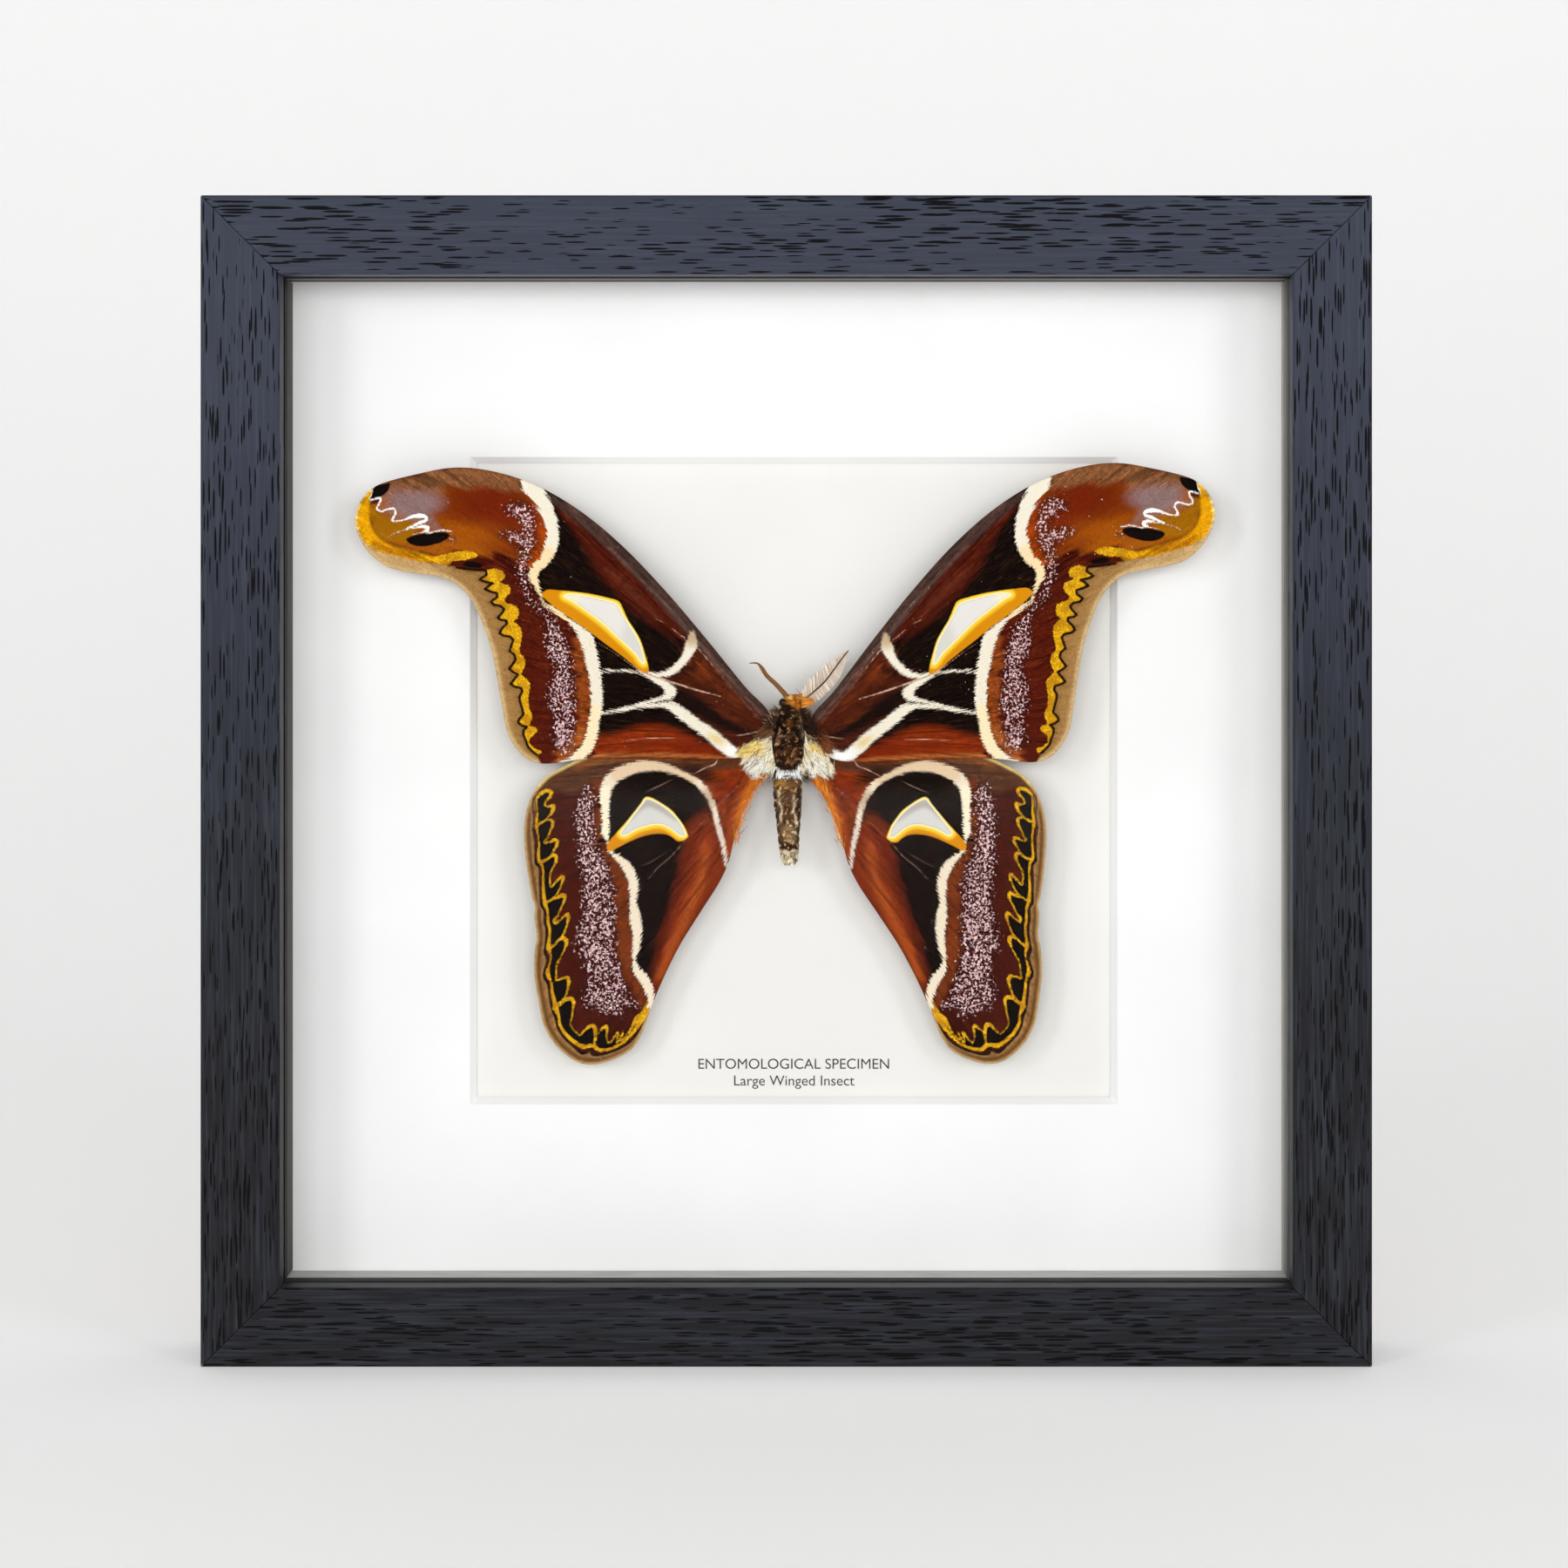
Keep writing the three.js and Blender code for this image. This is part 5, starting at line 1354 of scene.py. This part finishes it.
def make_body_fur(rng, fur):
    """Short fur over the whole body: along the abdomen, in whirls on the thorax, upwards on the head."""
    z = np.concatenate([rng.uniform(low, high, number) for low, high, number in FUR_ZONES])
    angle = rng.uniform(0, 2 * math.pi, len(z))
    front = rng.random(len(z)) < 0.5
    angle = np.where(front, rng.uniform(math.pi - 0.3, 2 * math.pi + 0.3, len(z)), angle)
    base = body_places(z, angle, -SKIN_DEPTH)
    flat = base[:, [0, 2]]
    outward = np.c_[np.cos(angle), np.sin(angle), np.zeros(len(z))]
    kind = np.repeat([THORAX, ABDOMEN, HEAD], [zone[2] for zone in FUR_ZONES])
    clumps = ripples(flat, 3, 2.5, 5.5)
    whirl = ripples(flat, 4, 2.0, 4.5)
    swirl = ripples(flat, 5, 2.0, 4.5)
    mottle = ripples(flat, 8, 4.0, 8.0)
    lift = np.choose(kind, [0.6, 0.25, 0.75])[:, None]
    down = np.choose(kind, [-0.35 + 0.35 * swirl, np.full(len(z), -1.0), np.full(len(z), 0.35)])
    sideways = rng.normal(0, 0.25, len(z)) + np.choose(kind, [0.5, 0.15, 0.3]) * whirl
    lean = outward * lift + np.c_[sideways, rng.normal(0, 0.1, len(z)), down]
    collar = in_collar(z)
    length = np.choose(kind, [rng.uniform(0.4, 0.95, len(z)), rng.uniform(0.3, 0.7, len(z)),
                              rng.uniform(0.7, 1.4, len(z))])
    length = np.where(collar, COLLAR_HAIR, length)
    length = np.where(kind == HEAD, length * np.exp(0.4 * clumps), length)
    width = np.choose(kind, [0.18, 0.15, 0.13]) * rng.uniform(0.7, 1.2, len(z))
    colours = body_hair_colours(rng, flat, kind, clumps, whirl, mottle)
    droop = np.c_[rng.normal(0, 0.12, len(z)), np.full(len(z), 0.12), np.where(kind == HEAD, -0.35, -0.15)]
    facing = outward + np.c_[0.35 * whirl, np.zeros(len(z)), 0.35 * clumps + 0.2 * mottle + 0.15]
    facing = np.where(collar[:, None], np.array([0.0, -1.0, 0.4]), facing)
    make_hairs("body_fur", base, lean, droop, length, width, colours, facing, fur, "body_hair", "moth_body")


# Cream tufts over the wing roots, and the darker fur above them: outline, flow origin, colour, count
ROOT_TUFTS = [
    ([(-3.4, 147.6), (-4.2, 149.4), (-6, 149), (-8, 148), (-10.4, 147.2), (-13, 146.2), (-11.6, 144.2),
      (-11, 142.6), (-9.4, 140.8), (-7.4, 139.6), (-6, 140.6), (-4.4, 139.8), (-3, 140.4)], (1.5, 151.5),
     (255, 238, 206), 2600),
    ([(3.8, 147.6), (5, 149.2), (7, 148.8), (8.4, 147.4), (9.4, 145.6), (11.6, 142.4), (11.4, 140.2),
      (9.6, 139.4), (8, 140.6), (6.4, 139.4), (4.8, 140.4), (3.6, 140.2)], (1.8, 153.5), (255, 238, 204),
     2500),
    ([(3.0, 158.8), (4.2, 159.6), (5.6, 159.4), (6.9, 158.9), (6.6, 158.1), (5.2, 157.6), (3.8, 157.7)],
     (1.4, 158.7), (204, 130, 52), 420),
    ([(-3.4, 152.6), (-4.6, 153.4), (-6.4, 151.8), (-8.4, 149.6), (-6, 149), (-3.6, 149.4)], (0, 154),
     (96, 62, 40), 700),
    ([(4, 154.6), (5.4, 155), (6.6, 153), (8.4, 151), (9.4, 148.4), (7.6, 148), (5, 148.6), (4, 150)],
     (1, 155.5), (40, 24, 16), 1300),
    ([(7, 150.4), (9.6, 150), (12, 147.6), (11, 145.4), (9, 145.8), (7.6, 148)], (3, 153), (112, 62, 34),
     500),
    ([(-1, 157.6), (-2.6, 157.2), (-3.6, 156), (-4, 154), (-3.8, 151.6), (-2.4, 151.6), (-1, 155)],
     (0.6, 154.6), (50, 31, 19), 900),
    ([(3, 157.2), (4.6, 156.8), (5.6, 155.8), (6, 154), (5.6, 151.6), (4, 151.6), (2.6, 155)],
     (1.4, 154.6), (40, 24, 15), 900),
    ([(-1.8, 157.4), (-3.2, 157), (-4.2, 155.6), (-4.2, 153.6), (-3.7, 153.8), (-3.4, 155.6),
      (-2.4, 156.6)], (-1.2, 153.4), (206, 186, 154), 150),
    ([(4.0, 156.8), (5.2, 156.6), (6.2, 155.2), (5.4, 155.2), (4.4, 156)], (2.6, 153.6), (150, 124, 92),
     90),
    ([(-4.4, 141), (-2.6, 141), (-2.8, 139.6), (-4, 139.4)], (-1, 144), (46, 28, 18), 200),
    ([(3.6, 141), (6.2, 141), (6, 139.4), (4.2, 139.2)], (2.6, 144), (48, 30, 20), 260),
    ([(-4.6, 141), (-7, 139.6), (-9.4, 137.4), (-10.8, 133.4), (-12.6, 128), (-13.2, 123.4), (-12.2, 123),
      (-11.4, 127.4), (-9.6, 132.4), (-7.2, 136.6), (-4.6, 139.6)], (-6, 148), (206, 118, 38), 420),
    ([(5.6, 140.6), (7.8, 139.2), (10.4, 136.6), (12, 132), (13.6, 127), (14.4, 122.6), (13.2, 122.4),
      (12.2, 127), (10.6, 131.4), (8.2, 136), (5.8, 139.2)], (7, 148), (206, 118, 38), 420),
]
# Middle of the body, how deep a tuft's hairs start in it, and the least sum of a pale tuft's colour
MIDDLE_X = 0.4
ROOT_DEPTH = 0.6
PALE_SUM = 500


def body_sides(z):
    """Leftmost and rightmost x of the body at heights z."""
    return body_places(z, math.pi, 0)[:, 0], body_places(z, 0, 0)[:, 0]


def pale_tuft(rng, tips, tone):
    """Colours of a pale tuft's hairs: brown streaks, a gilt upper part and a white lower one."""
    gap = ripples(tips, 6, 2.0, 6.0)
    streak = (rng.random(len(tips)) < np.where(gap > 0.7, 0.75, 0.06))[:, None]
    tone = np.where(streak, srgb(124, 76, 42), tone)
    side = math.copysign(1, tips[0, 0])
    gilt = (blob(tips, side * 9, 146.4, 4.4, 1.6, -14 * side) < 0)[:, None] & ~streak
    tone = np.where(gilt, srgb(250, 214, 128), tone)
    white = (blob(tips, side * 7.6, 141.9, 3.4, 2.6) < 0)[:, None] & ~streak
    return np.where(white, srgb(255, 247, 229), tone)


def make_root_tufts(rng, fur):
    """Hairs whose tips fill each tuft's outline and whose roots lie towards its origin."""
    bases, leans, droops, lengths, widths, colours = [], [], [], [], [], []
    for outline, origin, colour, count in ROOT_TUFTS:
        box = np.array(outline)
        tips = rng.uniform(box.min(axis=0), box.max(axis=0), (count * 4, 2))
        tips = tips[area(tips, outline) < 0][:count]
        flow = unit(tips - np.array(origin)) + rng.normal(0, 0.3, tips.shape)
        long = rng.uniform(1.2, 3.2, len(tips))
        near = np.exp(-np.maximum(np.abs(tips[:, 0] - MIDDLE_X) - 3.6, 0) / 3.4)
        thick = np.clip((tips[:, 1] - 136) / 6, 0.06, 1)
        height = -1.35 - thick * (1.65 + near * 1.3 + rng.uniform(0, 0.7, len(tips)))
        start = tips[:, 0] - flow[:, 0] * long
        root_z = tips[:, 1] - flow[:, 1] * long
        side_left, side_right = body_sides(root_z)
        start_left = np.minimum(start, side_left + ROOT_DEPTH)
        start_right = np.maximum(start, side_right - ROOT_DEPTH)
        start = np.where(tips[:, 0] < MIDDLE_X, start_left, start_right)
        base = np.c_[start, height + 0.35, root_z]
        bases.append(base)
        leans.append(np.c_[flow[:, 0], rng.uniform(-0.3, -0.05, len(tips)), flow[:, 1]])
        droop = [rng.normal(0, 0.08, len(tips)), np.full(len(tips), 0.2), rng.normal(0, 0.08, len(tips))]
        droops.append(np.column_stack(droop))
        lengths.append(long)
        widths.append(rng.uniform(0.09, 0.17, len(tips)))
        tone = np.tile(srgb(*colour), (len(tips), 1))
        if sum(colour) > PALE_SUM:
            colours.append(vary(rng, pale_tuft(rng, tips, tone), 0.14))
        else:
            colours.append(vary(rng, tone, 0.45))
    parts = [np.concatenate(rows) for rows in (bases, leans, droops, lengths, widths, colours)]
    count = len(parts[0])
    facing = np.c_[rng.normal(0, 0.25, count), np.full(count, -1.0), rng.normal(0.2, 0.25, count)]
    make_hairs("root_tufts", *parts, facing, fur, "body_hair", "moth_body")


# Antennae: the left comb is folded and seen edge on, the right one is spread

LEFT_ANTENNA = [(0.5, 159.2), (-1.2, 161.2), (-2.8, 162.9), (-4.9, 164.9), (-6.0, 166.6), (-7.1, 167.8),
                (-9, 167.9)]
RIGHT_SHAFT = [(3.6, 158.4), (4.8, 159.5), (6.6, 161.0), (9.2, 163.4), (11.4, 166.3), (13.6, 169.3),
               (14.9, 170.9)]
RIGHT_COMB = [
    (3.4, 160.8), (4.3, 162.6), (5.8, 164.4), (7.6, 166), (9.6, 167.6), (12.2, 169.4), (15, 171),
    (14, 167.4), (13.3, 165.2), (12.2, 163.4), (10.9, 161.8), (9.3, 160.2), (7.4, 158.6), (5.6, 158.2),
]
ANTENNA_Y = -3.4
BARB_GAP = 0.21
# How far the barbs of the right antenna lean from its shaft, in degrees
BARB_ANGLES = (56, -106)
PALE_BARB, BROWN_BARB = 0.36, 0.14
# How far each barb round the folded left antenna leans sideways and along y
LEFT_FAN = [(-1.2, -0.9), (-0.3, -0.9), (0.9, -0.9), (-0.9, 0.5), (0.4, 0.5), (1.2, 0.5)]


def along_path(points, gap):
    """Evenly spaced places and directions along a smooth path."""
    line = spline(points, steps=12)
    travel = np.concatenate([[0], np.cumsum(np.hypot(*np.diff(line, axis=0).T))])
    spots = np.arange(gap / 2, travel[-1], gap)
    places = np.c_[np.interp(spots, travel, line[:, 0]), np.interp(spots, travel, line[:, 1])]
    return places, unit(np.gradient(places, axis=0))


def barb_length(place, lean, outline):
    """How far a barb runs before it reaches the comb's outline."""
    reach = np.arange(0.2, 5, 0.1)
    inside = area(place + reach[:, None] * lean, outline) < 0
    return float(reach[inside].max()) if inside.any() else 0.3


def make_right_antenna(rng, fur):
    """A dark shaft with pale and thin brown barbs in turn, as far as the comb's outline."""
    pale, brown = srgb(232, 212, 194), srgb(128, 100, 84)
    places, forward = along_path(RIGHT_SHAFT, BARB_GAP)
    share = np.linspace(0, 1, len(places))
    rows = np.c_[places[:, 0], np.full(len(places), ANTENNA_Y - 0.3), places[:, 1], 0.22 - 0.1 * share]
    near = np.clip(1 - 3 * share, 0, 1)
    tones = np.outer(near, srgb(150, 96, 46)) + np.outer(1 - near, srgb(72, 48, 42))
    make_tube("antenna_right_shaft", rows, 8, tones, fur, "antenna_right")
    bases, leans, lengths = [], [], []
    for place, ahead in zip(places[3:], forward[3:]):
        turn = math.atan2(ahead[1], ahead[0])
        for side in BARB_ANGLES:
            angle = turn + math.radians(side)
            lean = np.array([math.cos(angle), math.sin(angle)]) + rng.normal(0, 0.03, 2)
            bases.append((place[0], ANTENNA_Y, place[1]))
            leans.append((lean[0], rng.normal(-0.02, 0.03), lean[1]))
            lengths.append(barb_length(place, lean, RIGHT_COMB) * rng.uniform(1.02, 1.12))
    count = len(bases)
    dark = (np.arange(count) // 2) % 2 == 1
    bend = np.tile(unit(np.array([[forward[0][0], 0, forward[0][1]]])) * 0.10, (count, 1))
    tones = np.where(dark[:, None], brown, np.tile(pale, (count, 1)))
    facing = np.tile([0.0, -1.0, 0.0], (count, 1))
    make_hairs("antenna_right_barbs", np.array(bases), np.array(leans), bend, np.array(lengths),
               np.where(dark, BROWN_BARB, PALE_BARB), vary(rng, tones, 0.12), facing, fur, "antenna_comb",
               "antenna_right", waist=0.85)


def make_left_antenna(rng, fur):
    """A folded comb seen from its edge: a thick shaft with short barbs on all sides."""
    places, forward = along_path(LEFT_ANTENNA, 0.3)
    share = np.linspace(0, 1, len(places))
    rows = np.c_[places[:, 0], np.full(len(places), ANTENNA_Y), places[:, 1],
                 np.interp(share, [0, 0.2, 0.72, 0.85, 1], [0.66, 0.58, 0.46, 0.22, 0.1])]
    tones = np.tile(srgb(120, 82, 46), (len(places), 1))
    make_tube("antenna_left_shaft", rows, 8, tones, fur, "antenna_left")
    which = np.repeat(np.arange(len(places)), len(LEFT_FAN))
    count = len(which)
    base = np.c_[places[which, 0], np.full(count, ANTENNA_Y), places[which, 1]]
    sideways = np.c_[-forward[which, 1], np.zeros(count), forward[which, 0]]
    ahead = np.c_[forward[which, 0], np.zeros(count), forward[which, 1]]
    fan, front = np.tile(np.array(LEFT_FAN).T, len(places))
    lean = sideways * fan[:, None] + ahead * 0.7 + np.c_[np.zeros(count), front, np.zeros(count)]
    taper = np.interp(share[which], [0, 0.72, 0.85, 1], [1, 0.85, 0.4, 0.25])
    tones = vary(rng, np.tile(srgb(138, 102, 64), (count, 1)), 0.35)
    facing = np.tile([0.0, -1.0, 0.0], (count, 1)) + 0.4 * sideways * fan[:, None]
    make_hairs("antenna_left_barbs", base, lean, ahead * 0.2, 1.0 * taper * rng.uniform(0.8, 1.1, count),
               0.18 * np.ones(count), tones, facing, fur, "antenna_comb", "antenna_left")


# Printed lines on the card behind the moth: words, height of the capitals, middle of the line
LABEL_LINES = [("ENTOMOLOGICAL SPECIMEN", 2.5, (1.6, 69.4)), ("Large Winged Insect", 2.5, (1.6, 65.3))]
CARD_FRONT = 8.3
INK_GAP = 0.04
INK_THICKNESS = 0.02
# Height of the capitals as a share of the font's size
CAPITALS = 0.7


def make_label():
    """Two printed lines of generic words."""
    s = Shader("label_ink")
    wear = s.noise(s.place(), 2200, 2.0, 0.6)
    tone = s.mix(s.step(wear, 0.35, 0.7), srgb(58, 56, 56), srgb(96, 94, 94))
    ink = s.finish(tone, wear, (0.7, 0.9), (wear, 0.2, 0.00003), Specular_IOR_Level=0.2)
    for number, (words, height, (x, z)) in enumerate(LABEL_LINES):
        data = bpy.data.curves.new(f"label_line_{number + 1}", "FONT")
        data.body = words
        data.align_x = "CENTER"
        data.size = height / CAPITALS * MM
        data.extrude = INK_THICKNESS * MM
        data.materials.append(ink)
        line = add_object(data.name, data)
        line.location = (x * MM, (CARD_FRONT - INK_GAP) * MM, (z - height / 2) * MM)
        line.rotation_euler = (math.pi / 2, 0, 0)
        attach(line, BODY)


# Camera, floor and lights

def add_camera():
    """Camera with the photograph's view: level, with its axis off the middle of the picture."""
    data = bpy.data.cameras.new("camera")
    data.sensor_width = SENSOR_MM
    data.lens = SENSOR_MM * FOCAL_PX / PHOTO_SIDE
    data.shift_x = -(AXIS_PX[0] - PHOTO_SIDE / 2) / PHOTO_SIDE
    data.shift_y = (AXIS_PX[1] - PHOTO_SIDE / 2) / PHOTO_SIDE
    data.clip_start = 0.05
    data.clip_end = 50
    camera = add_object("camera", data)
    camera.location = [v * MM for v in CAMERA_MM]
    camera.rotation_euler = (math.pi / 2, 0, 0)
    bpy.context.scene.camera = camera


def backdrop_paper():
    """Seamless pale paper, lit a little from behind."""
    s = Shader("backdrop_paper")
    fibres = s.noise(s.place(), 300, 3.0, 0.6)
    tone = s.mix(fibres, srgb(250, 250, 249), srgb(253, 253, 253))
    return s.finish(tone, fibres, (0.85, 0.95), (fibres, 0.02, 0.00005), Specular_IOR_Level=0.1,
                    Emission_Color=srgb(255, 255, 255), Emission_Strength=0.24)


def add_backdrop():
    """A pale floor that curves up into a wall behind the frame."""
    near, far, rise, radius, wide, steps = -4.0, 1.6, 4.0, 0.8, 4.0, 12
    section = [(near, 0.0), (far - radius, 0.0)]
    for i in range(1, steps + 1):
        angle = i / steps * math.pi / 2
        section.append((far - radius + radius * math.sin(angle), radius * (1 - math.cos(angle))))
    section.append((far, rise))
    points = [(x, y, z) for x in (-wide, wide) for y, z in section]
    count = len(section)
    faces = [(i, i + 1, count + i + 1, count + i) for i in range(count - 1)]
    mesh = bpy.data.meshes.new("backdrop")
    mesh.from_pydata(points, [], faces)
    mesh.shade_smooth()
    mesh.materials.append(backdrop_paper())
    add_object("backdrop", mesh)


def add_light(name, place, aim, size, power):
    """A rectangular softbox at a place, turned towards its aim; both in metres."""
    data = bpy.data.lights.new(name, "AREA")
    data.shape = "RECTANGLE"
    data.size, data.size_y = size
    data.energy = power
    light = add_object(name, data)
    light.location = place
    direction = np.array(aim) - np.array(place)
    light.rotation_euler = Vector(direction).to_track_quat("-Z", "Y").to_euler()
    return light


def add_lights():
    """A broad soft light from the front and above, two weaker ones at the sides, and a pale sky."""
    middle = (0.0, 0.0, 0.14)
    add_light("softbox_left", (-1.2, -1.75, 0.6), middle, (0.5, 0.7), 8)
    add_light("softbox_right", (1.2, -1.75, 0.6), middle, (0.5, 0.7), 6.5)
    top = add_light("softbox_top", (0.0, -2.6, 0.46), middle, (1.8, 0.7), 30.5)
    # Its mirror image in the glass would veil the dark wings
    top.visible_glossy = False
    world = bpy.data.worlds.new("studio")
    world.use_nodes = True
    world.node_tree.nodes["Background"].inputs["Color"].default_value = (1, 1, 1, 1)
    world.node_tree.nodes["Background"].inputs["Strength"].default_value = 0.29
    bpy.context.scene.world = world


bpy.context.scene.view_settings.view_transform = "Standard"
add_camera()
add_backdrop()
add_lights()
dress_frame()
make_wings(scales())
fur = fur_with_painted_glow()
make_body(fur, horn_material())
antenna_draws = np.random.default_rng(11)
make_right_antenna(antenna_draws, fur)
make_left_antenna(antenna_draws, fur)
make_label()
